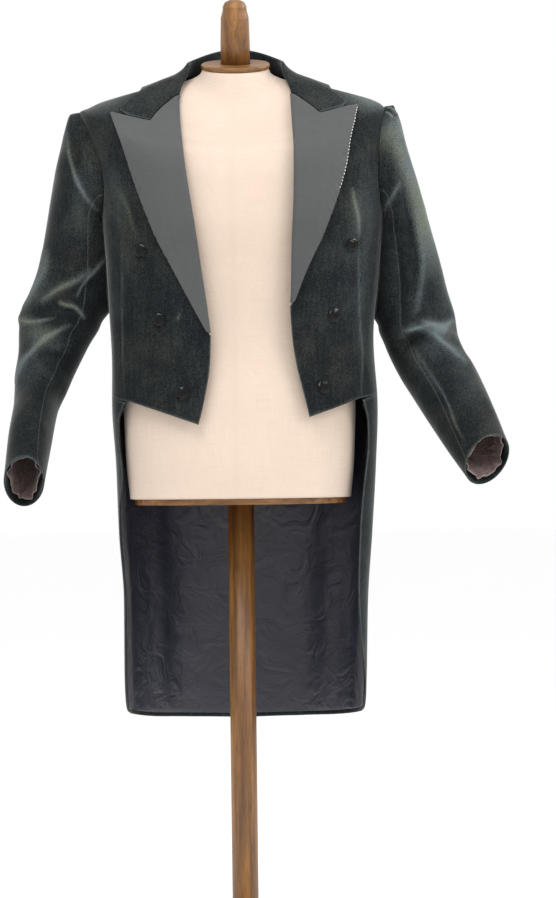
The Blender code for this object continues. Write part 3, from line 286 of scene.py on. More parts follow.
# Creases as seen from the front, each along a line of x out from the middle and z. A ridge has its
# height, how far it reaches to a side, and how much paler its pile is painted: a painted highlight along it
CREASES_TO, CREASES_FADE = 88, 6
CREASE_COLUMNS = ("side", "height", "reach", "paler", "line")
BODY_CREASES = (
    (LEFT, 0.0016, 0.0045, 0.55, ((0.1640, 1.2900), (0.1653, 1.2720), (0.1706, 1.2419), (0.1723, 1.2150))),
    (LEFT, -0.0008, 0.0022, 0.35, ((0.1723, 1.2150), (0.1735, 1.1658), (0.1745, 1.0976), (0.1779, 1.0598),
                                   (0.1752, 0.9915))),
    (RIGHT, -0.0007, 0.0022, 0.20, ((0.1640, 1.2250), (0.1650, 1.1658), (0.1660, 1.0976), (0.1640, 0.9915))),
    (RIGHT, 0.0006, 0.0018, 0.50, ((0.0800, 1.1130), (0.0814, 1.1106), (0.0860, 1.1011))),
    (RIGHT, 0.0012, 0.0060, 0.18, ((0.1650, 1.2900), (0.1500, 1.2500), (0.1420, 1.2150))),
)
SLEEVE_CREASES = (
    (RIGHT, 0.0030, 0.0060, 0.60, ((0.2431, 1.3797), (0.2415, 1.3523), (0.2340, 1.3205), (0.2186, 1.2863),
                                   (0.1992, 1.2609))),
    (RIGHT, 0.0012, 0.0028, 0.80, ((0.1962, 1.2040), (0.2075, 1.1813), (0.2234, 1.1575), (0.2336, 1.1380))),
    (RIGHT, 0.0050, 0.0090, 0.55, ((0.3120, 1.1240), (0.2857, 1.1643), (0.2743, 1.1881), (0.2745, 1.2120))),
    (RIGHT, 0.0045, 0.0080, 0.60, ((0.2880, 1.1340), (0.2519, 1.1551), (0.2280, 1.1663), (0.2119, 1.1820))),
    (RIGHT, 0.0036, 0.0060, 0.60, ((0.3200, 1.1150), (0.3008, 1.1061), (0.2728, 1.1097), (0.2620, 1.1110))),
    (RIGHT, 0.0030, 0.0045, 0.90, ((0.2600, 1.1340), (0.2522, 1.1306), (0.2364, 1.1267), (0.2208, 1.1086))),
    (RIGHT, 0.0045, 0.0070, 0.70, ((0.3230, 1.0160), (0.3115, 1.0446), (0.2876, 1.0716), (0.2637, 1.0910),
                                   (0.2399, 1.1027))),
    (RIGHT, 0.0012, 0.0040, 0.30, ((0.2093, 1.0817), (0.2236, 1.0430), (0.2476, 1.0075), (0.2617, 0.9805))),
    (LEFT, 0.0022, 0.0060, 0.45, ((0.2380, 1.3000), (0.2319, 1.2924), (0.2202, 1.2715), (0.2120, 1.2566))),
    (LEFT, -0.0050, 0.0085, 0.10, ((0.2257, 1.2262), (0.2287, 1.1768), (0.2302, 1.1223), (0.2333, 1.0879),
                                   (0.2522, 1.0375))),
    (LEFT, 0.0040, 0.0100, 0.45, ((0.2560, 1.2600), (0.2659, 1.1764), (0.2617, 1.1382), (0.2535, 1.1038))),
    (LEFT, 0.0048, 0.0065, 0.90, ((0.2343, 1.0862), (0.2615, 1.0902), (0.2807, 1.0881), (0.2980, 1.0800))),
    (LEFT, 0.0044, 0.0070, 0.75, ((0.2620, 1.1010), (0.2693, 1.0979), (0.2924, 1.0918), (0.3117, 1.1035))),
    (LEFT, 0.0040, 0.0080, 0.65, ((0.2692, 1.0960), (0.2844, 1.0765), (0.3149, 1.0491), (0.3300, 1.0374))),
    (LEFT, -0.0040, 0.0080, 0.20, ((0.2375, 1.0840), (0.2601, 1.0491), (0.2826, 1.0106), (0.2901, 0.9954))),
    (LEFT, 0.0010, 0.0030, 0.35, ((0.2760, 1.0216), (0.2965, 0.9836), (0.3075, 0.9486), (0.3188, 0.9256))),
    (LEFT, 0.0036, 0.0026, 1.00, ((0.2150, 1.4030), (0.2195, 1.3985), (0.2250, 1.3920))),
    (LEFT, 0.0036, 0.0026, 1.00, ((0.2180, 1.4090), (0.2240, 1.4060), (0.2310, 1.3990))),
    (LEFT, 0.0022, 0.0060, 0.50, ((0.2300, 1.3950), (0.2330, 1.3800), (0.2370, 1.3600))),
)

# Where the velvet is painted paler or darker over wide soft areas, as turn and level on the body
# and as around and place on the sleeves: partly pile that lies paler, partly painted highlight where light
# falls
PILE_AND_HIGHLIGHT_COLUMNS = ("side", "at_a", "at_b", "reach_a", "reach_b", "slant", "paler")
BODY_PILE_AND_HIGHLIGHT = (
    (LEFT, 62, 1.270, 9, 0.060, 0, 0.16),
    (LEFT, 60, 1.150, 7, 0.090, 0, 0.12),
    (LEFT, 76, 1.050, 7, 0.080, 0, 0.14),
    (RIGHT, 66, 1.280, 8, 0.070, 0, 0.08),
    # These two rows paint the shoulder tops paler: painted highlight where light falls from above
    (LEFT, 76, 1.420, 16, 0.012, 0, 0.60),
    (RIGHT, 76, 1.420, 16, 0.012, 0, 0.40),
    (LEFT, 150, 1.330, 22, 0.060, 0, 0.12),
    (RIGHT, 150, 1.320, 22, 0.060, 0, 0.12),
    (LEFT, 120, 0.800, 8, 0.160, 0, 0.12),
    (RIGHT, 120, 0.760, 8, 0.160, 0, 0.12),
    (LEFT, 172, 0.700, 6, 0.120, 0, 0.10),
    (RIGHT, 172, 0.820, 6, 0.120, 0, 0.10),
)
SLEEVE_PILE_AND_HIGHLIGHT = (
    # These two rows paint a pale band down the left sleeve's upper outer side: painted sheen where light
    # falls from the coat's left and behind
    (LEFT, 56, 1.8, 20, 2.6, 0, 0.66),
    (LEFT, 45, 5.2, 22, 2.2, 0, 0.58),
    (LEFT, 62, 10.9, 26, 0.55, 6, 0.42),
    (LEFT, 10, 8.6, 26, 1.6, 0, 0.20),
    (LEFT, 60, 11.2, 24, 1.0, 0, 0.18),
    (LEFT, 60, 14.0, 24, 1.4, 0, 0.10),
    (RIGHT, 90, 1.6, 22, 1.4, 0, 0.12),
    (RIGHT, 110, 3.6, 24, 1.2, 0, 0.14),
    (RIGHT, 40, 7.6, 26, 1.4, 0, 0.14),
    (RIGHT, 70, 9.4, 26, 0.50, -4, 0.22),
    (RIGHT, 60, 11.4, 30, 1.4, 0, 0.12),
    (LEFT, 300, 6.0, 24, 3.0, 0, 0.20),
    (RIGHT, 300, 6.0, 24, 3.0, 0, 0.20),
    (LEFT, 290, 11.0, 24, 2.0, 0, 0.16),
    (RIGHT, 290, 10.0, 24, 2.0, 0, 0.16),
)
# Fold heights make the velvet's colour paler on ridges and darker in hollows: painted highlight and painted
# shade
HIGHLIGHT_AND_SHADE_BY_FOLD = 40.0
# How far an edge turns round, and how much paler its pile is painted there: partly wear, partly painted
# highlight where the turned edge catches light
SEAM_EDGE, FREE_EDGE = (0.35, 0.36), (1.0, 0.50)

# The quarter round of a turned cloth edge: distance in and drop, as shares of half the cloth
EDGE_TURN = ((0.0, 0.90), (0.15, 0.50), (0.45, 0.18), (0.85, 0.02))


def monotone(rows):
    """A smooth curve through each column of a table, against its first column."""
    rows = np.array(rows, float)
    knots, values = rows[:, 0], rows[:, 1:]
    steps = np.diff(knots)[:, None]
    slopes = np.diff(values, axis=0) / steps
    turning = slopes[:-1] * slopes[1:] <= 0
    before = np.where(turning, 1.0, slopes[:-1])
    after = np.where(turning, 1.0, slopes[1:])
    heavy, light = 2 * steps[1:] + steps[:-1], steps[1:] + 2 * steps[:-1]
    inner = np.where(turning, 0.0, (heavy + light) / (heavy / before + light / after))
    tangents = np.vstack([slopes[:1], inner, slopes[-1:]])

    def at(where):
        where = np.clip(np.asarray(where, float), knots[0], knots[-1])
        low = np.clip(np.searchsorted(knots, where, side="right") - 1, 0, len(knots) - 2)
        step = (knots[low + 1] - knots[low])[..., None]
        t = (where[..., None] - knots[low][..., None]) / step
        return (values[low] * (1 + 2 * t) * (1 - t) ** 2
                + tangents[low] * step * t * (1 - t) ** 2
                + values[low + 1] * t ** 2 * (3 - 2 * t)
                + tangents[low + 1] * step * t ** 2 * (t - 1))
    return at


body_table = monotone(BODY)
form_table = monotone(FORM)
sleeve_tables = {side: monotone([(place,) + row for place, row in enumerate(rows)])
                 for side, rows in SLEEVE.items()}


def signed_power(value, power):
    return np.sign(value) * np.abs(value) ** power


def fold_height(table, side, a, b):
    """The height of a table's soft ridges and hollows at a and b."""
    height = np.zeros(np.broadcast(a, b).shape)
    for fold_side, at_a, at_b, reach_a, reach_b, slant, size in table:
        if fold_side == side:
            off_b = (b - at_b) / reach_b
            off_a = ((a - at_a - slant * (b - at_b) + 180) % 360 - 180) / reach_a
            height = height + size * np.exp(-off_a ** 2 - off_b ** 2)
    return height


def ring_point(side, turn, level):
    """A point of the coat's body, with no folds."""
    z_front, z_back, right, left, front, back, square = np.moveaxis(body_table(level), -1, 0)
    angle = np.radians(turn)
    cosine = np.cos(angle)
    wide = left if side == LEFT else right
    power = 2 / square
    x = side * wide * signed_power(np.sin(angle), power)
    y = -np.where(cosine > 0, front, back) * signed_power(cosine, power)
    z = level + (np.where(cosine > 0, z_front, z_back) - level) * cosine ** 2
    return np.stack([x, y, z], axis=-1)


def smooth_step(share):
    share = np.clip(share, 0, 1)
    return share * share * (3 - 2 * share)


def unit(vectors):
    return vectors / np.maximum(np.linalg.norm(vectors, axis=-1, keepdims=True), 1e-12)


def outward(surface, side, turn, level):
    """Unit normals of a surface given by turn and level."""
    across = surface(side, turn + 0.4, level) - surface(side, turn - 0.4, level)
    up = surface(side, turn, level + 0.0008) - surface(side, turn, level - 0.0008)
    return side * unit(np.cross(across, up))


def drawn(table):
    """A crease table with smooth lines in place of its spots."""
    return [(side, height, reach, paler, spread(line, 14, 1.0))
            for side, height, reach, paler, line in table]


def from_line(line, spots):
    """How far spots lie to the side of a line, and how far along it, from 0 to 1."""
    starts, ways = line[:-1], np.diff(line, axis=0)
    off = spots[..., None, :] - starts
    along = np.clip(np.sum(off * ways, axis=-1) / np.sum(ways * ways, axis=-1), 0, 1)
    miss = off - along[..., None] * ways
    distance = np.linalg.norm(miss, axis=-1)
    nearest = np.argmin(distance, axis=-1)[..., None]
    way = ways[nearest[..., 0]]
    side = np.take_along_axis(miss, nearest[..., None], axis=-2)[..., 0, :]
    sign = np.sign(way[..., 0] * side[..., 1] - way[..., 1] * side[..., 0])
    share = (nearest + np.take_along_axis(along, nearest, axis=-1))[..., 0] / len(ways)
    return sign * np.take_along_axis(distance, nearest, axis=-1)[..., 0], share


def crease_shape(table, side, points, shown):
    """Heights of a table's creases at points, and how much paler the pile is painted on them, as a painted
    highlight.
    """
    height, paler = np.zeros(points.shape[:-1]), np.zeros(points.shape[:-1])
    seen = np.stack([side * points[..., 0], points[..., 2]], axis=-1)
    for crease_side, size, reach, lighter, line in table:
        if crease_side == side:
            off, share = from_line(line, seen)
            fade = shown * np.sqrt(np.clip(np.sin(np.pi * share), 0, 1))
            crest = np.exp(-(off / reach) ** 2)
            trough = np.exp(-((off / reach - 1.9) / 1.2) ** 2)
            height = height + size * fade * (crest - 0.4 * trough)
            paler = paler + lighter * fade * (0.7 * np.exp(-(2.6 * off / reach) ** 2)
                                              + 0.5 * np.exp(-(1.2 * off / reach) ** 2))
    return height, paler


def body_crease(side, turn, points):
    shown = np.clip((CREASES_TO - turn) / CREASES_FADE, 0, 1)
    return crease_shape(body_creases, side, points, shown)


def cloth(side, turn, level, lift=0.0):
    """The outer face of the coat's body, with its folds and creases, moved out by lift."""
    turn, level = np.broadcast_arrays(np.asarray(turn, float), np.asarray(level, float))
    plain = ring_point(side, turn, level)
    height = fold_height(FOLDS, side, turn, level) + lift
    height = height + body_crease(side, turn, plain)[0]
    return plain + outward(ring_point, side, turn, level) * height[..., None]


def body_pile_and_highlight(side, turn, level):
    """How pale the velvet is painted on the coat's body, from 0 to 1: pile that lies paler, with painted
    highlight on ridges, creases and lit areas and painted shade in fold hollows.
    """
    pile = fold_height(BODY_PILE_AND_HIGHLIGHT, side, turn, level)
    pile = pile + HIGHLIGHT_AND_SHADE_BY_FOLD * fold_height(FOLDS, side, turn, level)
    pile = pile + body_crease(side, turn, ring_point(side, turn, level))[1]
    return np.clip(pile, 0, 1)


def on_cloth(side, spots, lift=0.0):
    """Turn and level of spots given as x out from the middle and z, seen from the front."""
    spots = np.array(spots, float)
    turn = np.full(len(spots), 40.0)
    level = spots[:, 1] + 0.02
    for _ in range(80):
        here = cloth(side, turn, level, lift)
        by_turn = cloth(side, turn + 0.2, level, lift) - here
        by_level = cloth(side, turn, level + 0.0005, lift) - here
        miss_x = spots[:, 0] - side * here[:, 0]
        miss_z = spots[:, 1] - here[:, 2]
        a, b, c, d = side * by_turn[:, 0], side * by_level[:, 0], by_turn[:, 2], by_level[:, 2]
        size = a * d - b * c
        size = np.where(np.abs(size) < 1e-12, 1e-12, size)
        turn = np.clip(turn + np.clip(0.2 * (miss_x * d - miss_z * b) / size, -4, 4), 3, 89.5)
        level = np.clip(level + np.clip(0.0005 * (miss_z * a - miss_x * c) / size, -0.01, 0.01),
                        0.5, 1.499)
    return np.stack([turn, level], axis=-1)


def spread(points, count, scale=METRES_A_DEGREE):
    """Points spaced evenly along a smooth line through turn and level points."""
    points = np.array(points, float)
    lengths = np.hypot(np.diff(points[:, 0]) * scale, np.diff(points[:, 1]))
    places = np.concatenate([[0], np.cumsum(lengths)])
    line = monotone(np.column_stack([places, points]))
    return line(np.linspace(0, places[-1], count + 1))


def seen_line(side, spots, count, lift=0.0):
    """Turns and levels spaced evenly along a line of spots seen from the front."""
    return on_cloth(side, spread(spots, count, 1.0), lift)


def joined(*lines):
    """One line from several that meet end to end."""
    parts = [line[:-1] for line in lines[:-1]]
    return np.vstack(parts + [lines[-1]])


def patch(low, high, start, end, hold=1.0):
    """Fill a four sided patch: low and high run across it, start and end run up.

    A larger hold keeps what low and high do nearer to them.
    """
    across = np.linspace(0, 1, len(low))[None, :, None]
    up = np.linspace(0, 1, len(start))[:, None, None]
    ruled = start[:, None] * (1 - across) + end[:, None] * across
    return ruled + (1 - up) ** hold * (low - ruled[0]) + up ** hold * (high - ruled[-1])


def armhole(side, around):
    """The armhole seam as turn and level; around is 0 on top, 90 in front, 180 below."""
    hole = ARMHOLE[side]
    angle = np.radians(np.asarray(around, float))
    return np.stack([hole["turn"] - hole["turn_reach"] * np.sin(angle),
                     hole["level"] + hole["level_reach"] * np.cos(angle)], axis=-1)


def armhole_run(side, first, last):
    count = int(round(abs(last - first) / ARMHOLE_STEP))
    return armhole(side, np.linspace(first, last, count + 1))


def trimmed(grid, sides, gap=SEAM_GAP / 2):
    """Draw a grid's named sides in by half a seam gap."""
    grid = grid.copy()
    if "low" in sides:
        grid[0] += unit(grid[1] - grid[0]) * gap
    if "high" in sides:
        grid[-1] += unit(grid[-2] - grid[-1]) * gap
    if "start" in sides:
        grid[:, 0] += unit(grid[:, 1] - grid[:, 0]) * gap
    if "end" in sides:
        grid[:, -1] += unit(grid[:, -2] - grid[:, -1]) * gap
    return grid


def roll_edge(side):
    """The front's edge under the lapel's fold, as turn and level."""
    rows = SIDE_ROWS + round(SIDE_SEAM_AT / ARMHOLE_STEP) - EDGE_ROWS - NECK_ROWS
    return seen_line(side, ROLL_LINE[side] + np.array([PAST_EDGE, 0.0]), rows)


def front_patch(side):
    """The front, from its free edge to the side seam and the armhole."""
    edge = seen_line(side, FRONT_EDGE[side], EDGE_ROWS)
    roll = roll_edge(side)
    edge[-1] = roll[0]
    seam = shoulder_seam(side)[::-1]
    neck = spread(np.vstack([roll[-1:], NECKLINE]), NECK_ROWS)
    inner = joined(edge, roll, neck)
    inner[-1] = seam[0]
    waist = FRONT_ACROSS // 4
    corner = seen_line(side, LOWER_EDGE[side], FRONT_ACROSS - waist)
    low = joined(corner,
                 spread([corner[-1], SIDE_SEAM_FOOT], waist))
    low[0] = inner[0]
    outer = joined(spread([SIDE_SEAM_FOOT, armhole(side, SIDE_SEAM_AT)], SIDE_ROWS),
                   armhole_run(side, SIDE_SEAM_AT, 0))
    return patch(low, seam, inner, outer)


def shoulder_seam(side):
    return spread([armhole(side, 0)] + list(SHOULDER_SEAM), FRONT_ACROSS)


def side_patch(side):
    """The side body, between the side seam and the back seam."""
    front = spread([SIDE_SEAM_FOOT, armhole(side, SIDE_SEAM_AT)], SIDE_ROWS)
    back = spread(list(BACK_SEAM) + [armhole(side, BACK_SEAM_AT)], SIDE_ROWS)
    high = armhole_run(side, SIDE_SEAM_AT, BACK_SEAM_AT)
    return patch(spread(WAIST_SEAM, len(high) - 1), high, front, back)


def back_patch(side):
    """Half the back, from the hem of its tail to the neck."""
    start = joined(spread(PLEAT, TAIL_ROWS),
                   spread(list(BACK_SEAM) + [armhole(side, BACK_SEAM_AT)], SIDE_ROWS),
                   armhole_run(side, BACK_SEAM_AT, 360))
    neck = [SHOULDER_SEAM[-1], (140.0, NECK_LEVEL), (180.0, NECK_LEVEL)]
    high = joined(shoulder_seam(side), spread(neck, NECK_ACROSS))
    low = spread(HEM[2:], len(high) - 1)
    stops = (HEM[-1][1], PLEAT[-1][1], BLADE_LEVEL, NECK_LEVEL)
    rows = (TAIL_ROWS, SIDE_ROWS, round((360 - BACK_SEAM_AT) / ARMHOLE_STEP))
    levels = [np.linspace(*ends, count + 1)[:-1]
              for ends, count in zip(zip(stops, stops[1:]), rows)]
    levels = np.append(np.concatenate(levels), stops[-1])
    end = np.column_stack([np.full(len(levels), 180.0), levels])
    return patch(low, high, start, end, BACK_HOLD)


def tail_patch(side):
    """A tail outside the back's pleat, from its front edge."""
    low = spread(np.vstack([TAIL_EDGE[side][:1], HEM[1:3]]), TAIL_ACROSS)
    high = spread([TAIL_EDGE[side][-1], WAIST_FRONT] + list(WAIST_SEAM), TAIL_ACROSS)
    return patch(low, high, spread(TAIL_EDGE[side], TAIL_ROWS), spread(PLEAT, TAIL_ROWS))


# The lapel's fold round the front's edge: how far past the edge, and how high, for its
# outer and its inner face, from the wrong side round to the right side
ROLL_FOLD = (
    (0.0, 0.0030, -0.0018, 0.0007, -0.0018), (1.0, 0.0031, 0.0008, 0.0008, 0.0003),
    (2.0, 0.0021, 0.0029, 0.0005, 0.0008),
)
ROLL_STEPS = 9
LAPEL_LIFT = 0.0040
LAPEL_EDGE_LIFT = 0.0080
LAPEL_BULGE = 0.0015
GORGE_LIFT = 0.0042
PUCKER = 0.00085
PUCKER_SLANT = 0.12
PUCKER_FROM = 0.70
EASE_SHARE, EASE_AT, EASE_REACH = 0.8, 0.86, 0.12


def lapel_patch(side):
    """A lapel from its roll line to its outer edge, as turn and level."""
    roll = np.vstack([roll_edge(side), ROLL_TOP[:1]])
    roll = spread(roll, len(roll) + FINE - 2)
    outer = seen_line(side, LAPEL_OUTER[side], len(roll) - 1, LAPEL_EDGE_LIFT)
    half = LAPEL_ACROSS // 2
    top = seen_line(side, LAPEL_TOP[side], LAPEL_ACROSS - half, GORGE_LIFT)[::-1]
    top[-1] = outer[-1]
    high = joined(spread([ROLL_TOP[0], top[0]], half), top)
    return eased(patch(spread([roll[0], outer[0]], LAPEL_ACROSS), high, roll, outer, LAPEL_HOLD))


def eased(grid):
    """Even out a lapel's grid below its notch, where the rows turn sharply."""
    up = np.linspace(0, 1, grid.shape[0])[1:-1, None, None]
    across = np.linspace(0, 1, grid.shape[1])[None, 1:-1, None]
    weight = EASE_SHARE * np.exp(-((up - EASE_AT) / EASE_REACH) ** 2) * np.sin(math.pi * across)
    for _ in range(FINE ** 2):
        mean = (grid[:-2, 1:-1] + grid[2:, 1:-1] + grid[1:-1, :-2] + grid[1:-1, 2:]) / 4
        grid[1:-1, 1:-1] += weight * (mean - grid[1:-1, 1:-1])
    return grid


def lapel_faces(side):
    """Both faces of a lapel, with the fold at its roll line."""
    grid = lapel_patch(side)
    roll = grid[:, 0]
    across = np.linspace(0, 1, grid.shape[1])[None, :]
    up = np.linspace(0, 1, grid.shape[0])[:, None]
    lift = (LAPEL_LIFT + (LAPEL_EDGE_LIFT - LAPEL_LIFT) * across ** 2 * np.sin(math.pi * up) ** 0.5
            + LAPEL_BULGE * np.sin(math.pi * across) * np.sin(math.pi * up))
    slanted = up + PUCKER_SLANT * across
    ripple = np.sin(230 * slanted + 4 * np.sin(9 * up)) + 0.6 * np.sin(131 * slanted + 2)
    near = np.clip((across - PUCKER_FROM) / (1 - PUCKER_FROM), 0, 1) ** 1.5
    lift = lift + PUCKER * ripple * near * np.sin(math.pi * up)
    outer = cloth(side, grid[..., 0], grid[..., 1], lift)
    inner = cloth(side, grid[..., 0], grid[..., 1], lift - SILK)
    turn, level = roll[:, 0], roll[:, 1]
    ahead = cloth(side, turn - 0.5, level) - cloth(side, turn, level)
    along = unit(np.gradient(cloth(side, turn, level), axis=0))
    ahead = unit(ahead - along * np.sum(ahead * along, axis=-1, keepdims=True))
    fold_outer, fold_inner = [], []
    for past_out, high_out, past_in, high_in in monotone(ROLL_FOLD)(np.linspace(0, 2, ROLL_STEPS)):
        fold_outer.append(cloth(side, turn, level, high_out) + ahead * past_out)
        fold_inner.append(cloth(side, turn, level, high_in) + ahead * past_in)
    outer = np.concatenate([np.stack(fold_outer, axis=1), outer[:, 2:]], axis=1)
    inner = np.concatenate([np.stack(fold_inner, axis=1), inner[:, 2:]], axis=1)
    return trimmed(outer, ("high",)), trimmed(inner, ("high",))


# The collar across its width: up the stand, over the roll and down the fall. Each row gives
# a place between the seam and the roll, then heights above the roll and lifts of both faces
STAND = ((0.0, -0.0012, 0.0010), (0.35, -0.0012, 0.0010))
COLLAR_ROLL = (
    ((-0.0022, -0.0012), (-0.0036, 0.0010)),
    ((0.0004, -0.0004), (-0.0022, 0.0013)),
    ((0.0012, 0.0018), (-0.0016, 0.0018)),
    ((0.0002, 0.0038), (-0.0022, 0.0022)),
)
# A stand lower than this has a smaller roll
STAND_FULL = 0.006
FALL_LIFT = 0.0042
FALL_BULGE = 0.0032
FALL_DROP = 0.002
COLLAR_THICK = 0.0022


def collar_half(side):
    """Both faces of half the collar, from its front end to the centre back."""
    rows = COLLAR_FRONT_ROWS + COLLAR_BACK_ROWS
    corner = seen_line(side, COLLAR_OUTER[side], COLLAR_FRONT_ROWS, GORGE_LIFT)
    edge = joined(corner,
                  spread(np.vstack([corner[-1:], COLLAR_OUTER_BACK]), COLLAR_BACK_ROWS))
    roll = spread(ROLL_TOP, rows)
    seam = monotone(NECK_SEAM)(roll[:, 0])[:, 0]
    share = np.linspace(0, 1, rows + 1)
    faces = ([], [])
    for place, lift_out, lift_in in STAND:
        level = seam + (roll[:, 1] - seam) * place
        faces[0].append(cloth(side, roll[:, 0], level, lift_out))
        faces[1].append(cloth(side, roll[:, 0], level, lift_in))
    tall = np.minimum(1, (roll[:, 1] - seam) / STAND_FULL)
    for offsets in COLLAR_ROLL:
        for face, (rise, lift) in zip(faces, offsets):
            face.append(cloth(side, roll[:, 0], roll[:, 1] + rise * tall, lift))
    for step in range(1, COLLAR_FALL + 1):
        place = step / COLLAR_FALL
        turn = roll[:, 0] + (edge[:, 0] - roll[:, 0]) * place
        level = roll[:, 1] - FALL_DROP * (1 - place) + (edge[:, 1] - roll[:, 1]) * place
        bulge = FALL_BULGE * math.sin(math.pi * place) * np.minimum(1, 3 * share)
        faces[0].append(cloth(side, turn, level, FALL_LIFT + bulge))
        faces[1].append(cloth(side, turn, level, FALL_LIFT + bulge - COLLAR_THICK))
    return [trimmed(np.stack(face, axis=0), ("start",)) for face in faces]


def sleeve_ring(side, around, place):
    """A point of the sleeve's plain rings."""
    table = sleeve_tables[side]
    out_outer, z_outer, out_inner, z_inner, y, deep = np.moveaxis(table(place), -1, 0)
    ahead, behind = table(place + RUN_REACH), table(place - RUN_REACH)
    change = ahead - behind
    run = unit(np.stack([side * (change[..., 0] + change[..., 2]) / 2,
                         change[..., 4], (change[..., 1] + change[..., 3]) / 2], axis=-1))
    out = np.stack([side * (out_outer - out_inner) / 2, np.zeros_like(y),
                    (z_outer - z_inner) / 2], axis=-1)
    middle = np.stack([side * (out_outer + out_inner) / 2, y, (z_outer + z_inner) / 2], axis=-1)
    bent = smooth_step((place - ELBOW_FROM) / (ELBOW_TO - ELBOW_FROM))[..., None]
    front = unit(np.cross(run, out)) * side * bent - np.array([0.0, 1.0, 0.0]) * (1 - bent)
    front = unit(front)
    angle = np.radians(around)[..., None]
    return middle + out * np.cos(angle) + front * deep[..., None] * np.sin(angle)


def sleeve_point(side, around, place):
    """The outer face of a sleeve: around is 0 outside, 90 in front and 180 next to the body."""
    around, place = np.broadcast_arrays(np.asarray(around, float), np.asarray(place, float))
    ring = sleeve_ring(side, around, place)
    hole = armhole(side, around)
    start = cloth(side, hole[..., 0], hole[..., 1], ARMHOLE_LIFT * (1 - np.cos(np.radians(around))))
    ease = 1 - smooth_step(place / SLEEVE_START)[..., None]
    return ring + (start - sleeve_ring(side, around, np.zeros_like(place))) * ease


def sleeve_crease(side, around, points):
    shown = np.clip(3 * np.sin(np.radians(around)) + 1, 0, 1)
    return crease_shape(sleeve_creases, side, points, shown)


def sleeve_cloth(side, around, place):
    """The sleeve with its folds and creases, kept clear of the coat's body."""
    around, place = np.broadcast_arrays(np.asarray(around, float), np.asarray(place, float))
    across = sleeve_point(side, around + 1, place) - sleeve_point(side, around - 1, place)
    down = sleeve_point(side, around, place + 0.05) - sleeve_point(side, around, place - 0.05)
    normal = side * unit(np.cross(across, down))
    plain = sleeve_point(side, around, place)
    height = fold_height(SLEEVE_FOLDS, side, around, place)
    height = height + sleeve_crease(side, around, plain)[0] * smooth_step(place / 0.8)
    point = plain + normal * height[..., None]
    held = smooth_step((place - HUG_FROM) / 1.5) * (1 - smooth_step(place - HUG_TO[side]))
    point[..., 0] -= side * HUG * np.clip(-2 * np.cos(np.radians(around)) - 1, 0, 1) * held
    right, left, front, back = np.moveaxis(body_table(point[..., 2]), -1, 0)[2:6]
    wide = left if side == LEFT else right
    deep = np.where(point[..., 1] < 0, front, back)
    inside = np.clip(1 - (np.abs(point[..., 1]) / deep) ** CLEAR_SQUARE, 0, 1)
    least = wide * inside ** (1 / CLEAR_SQUARE) + SLEEVE_CLEAR
    below = np.clip((place - 0.5) / 0.5, 0, 1)
    short = np.maximum(least - side * point[..., 0], 0) * below * (point[..., 2] < CLEAR_BELOW)
    point[..., 0] += side * short
    return point


def sleeve_faces(side, around, place, thick, lift=0.0):
    """Outer and inner face of a sleeve over a grid."""
    past = np.maximum(place, 0.4)
    across = sleeve_cloth(side, around + 1, past) - sleeve_cloth(side, around - 1, past)
    down = sleeve_cloth(side, around, past + 0.05) - sleeve_cloth(side, around, past - 0.05)
    normal = side * unit(np.cross(across, down))
    outer = sleeve_cloth(side, around, place) + normal * lift
    return outer, outer - normal * thick


def sleeve_pile_and_highlight(side, around, place):
    """How pale the velvet is painted on a sleeve, from 0 to 1: pile that lies paler, with painted highlight
    on ridges, creases and lit areas and painted shade in fold hollows.
    """
    around, place = np.broadcast_arrays(np.asarray(around, float), np.asarray(place, float))
    pile = fold_height(SLEEVE_PILE_AND_HIGHLIGHT, side, around, place)
    pile = pile + HIGHLIGHT_AND_SHADE_BY_FOLD * fold_height(SLEEVE_FOLDS, side, around, place)
    pile = pile + sleeve_crease(side, around, sleeve_point(side, around, place))[1]
    return np.clip(pile, 0, 1)


def form_ring(level):
    z_front, z_back, wide, front, back, square, arch = form_table(level)
    turn = np.linspace(0, 2 * math.pi, FORM_AROUND, endpoint=False)
    cosine, sine = np.cos(turn), np.sin(turn)
    power = 2 / square
    bend = arch * cosine ** 2 + (1 - arch) * np.abs(cosine) ** power
    return np.stack([wide * signed_power(sine, power),
                     -np.where(cosine > 0, front, back) * signed_power(cosine, power),
                     level + (np.where(cosine > 0, z_front, z_back) - level) * bend], axis=-1)


body_creases = drawn(BODY_CREASES)
sleeve_creases = drawn(SLEEVE_CREASES)


# At scale 1 a wave texture's bands are this far apart
BAND_APART = math.pi / 10
RIB_APART = 0.0023687
THREAD_APART = 0.0029608


def linear(hex_colour):
    """An sRGB hex colour as a linear one."""
    return [((part / 255) / 12.92 if part <= 10 else ((part / 255 + 0.055) / 1.055) ** 2.4)
            for part in bytes.fromhex(hex_colour)] + [1.0]


def add_node(tree, kind, inputs=(), **settings):
    """Add a node; inputs gives each socket a value or another node's output."""
    made = tree.nodes.new(kind)
    for key, value in settings.items():
        setattr(made, key, value)
    for socket, value in dict(inputs).items():
        if isinstance(value, bpy.types.NodeSocket):
            tree.links.new(value, made.inputs[socket])
        else:
            made.inputs[socket].default_value = value
    return made


def noise(tree, vector, scale, **more):
    """A noise texture's value; more gives other sockets, such as Detail."""
    inputs = {"Vector": vector, "Scale": scale}
    inputs.update({key.replace("_", " "): value for key, value in more.items()})
    return add_node(tree, "ShaderNodeTexNoise", inputs).outputs["Fac"]


def ranged(tree, value, low, high, start=0.0, end=1.0):
    """A value that runs from start to end, made to run from low to high."""
    return add_node(tree, "ShaderNodeMapRange", {"Value": value, "From Min": start, "From Max": end,
                                                 "To Min": low, "To Max": high}).outputs[0]


def blend(tree, share, first, second):
    """A colour between two, each given as hex or as another node's output."""
    first, second = (linear(end) if isinstance(end, str) else end for end in (first, second))
    return add_node(tree, "ShaderNodeMix", {0: share, 6: first, 7: second}, data_type="RGBA").outputs[2]


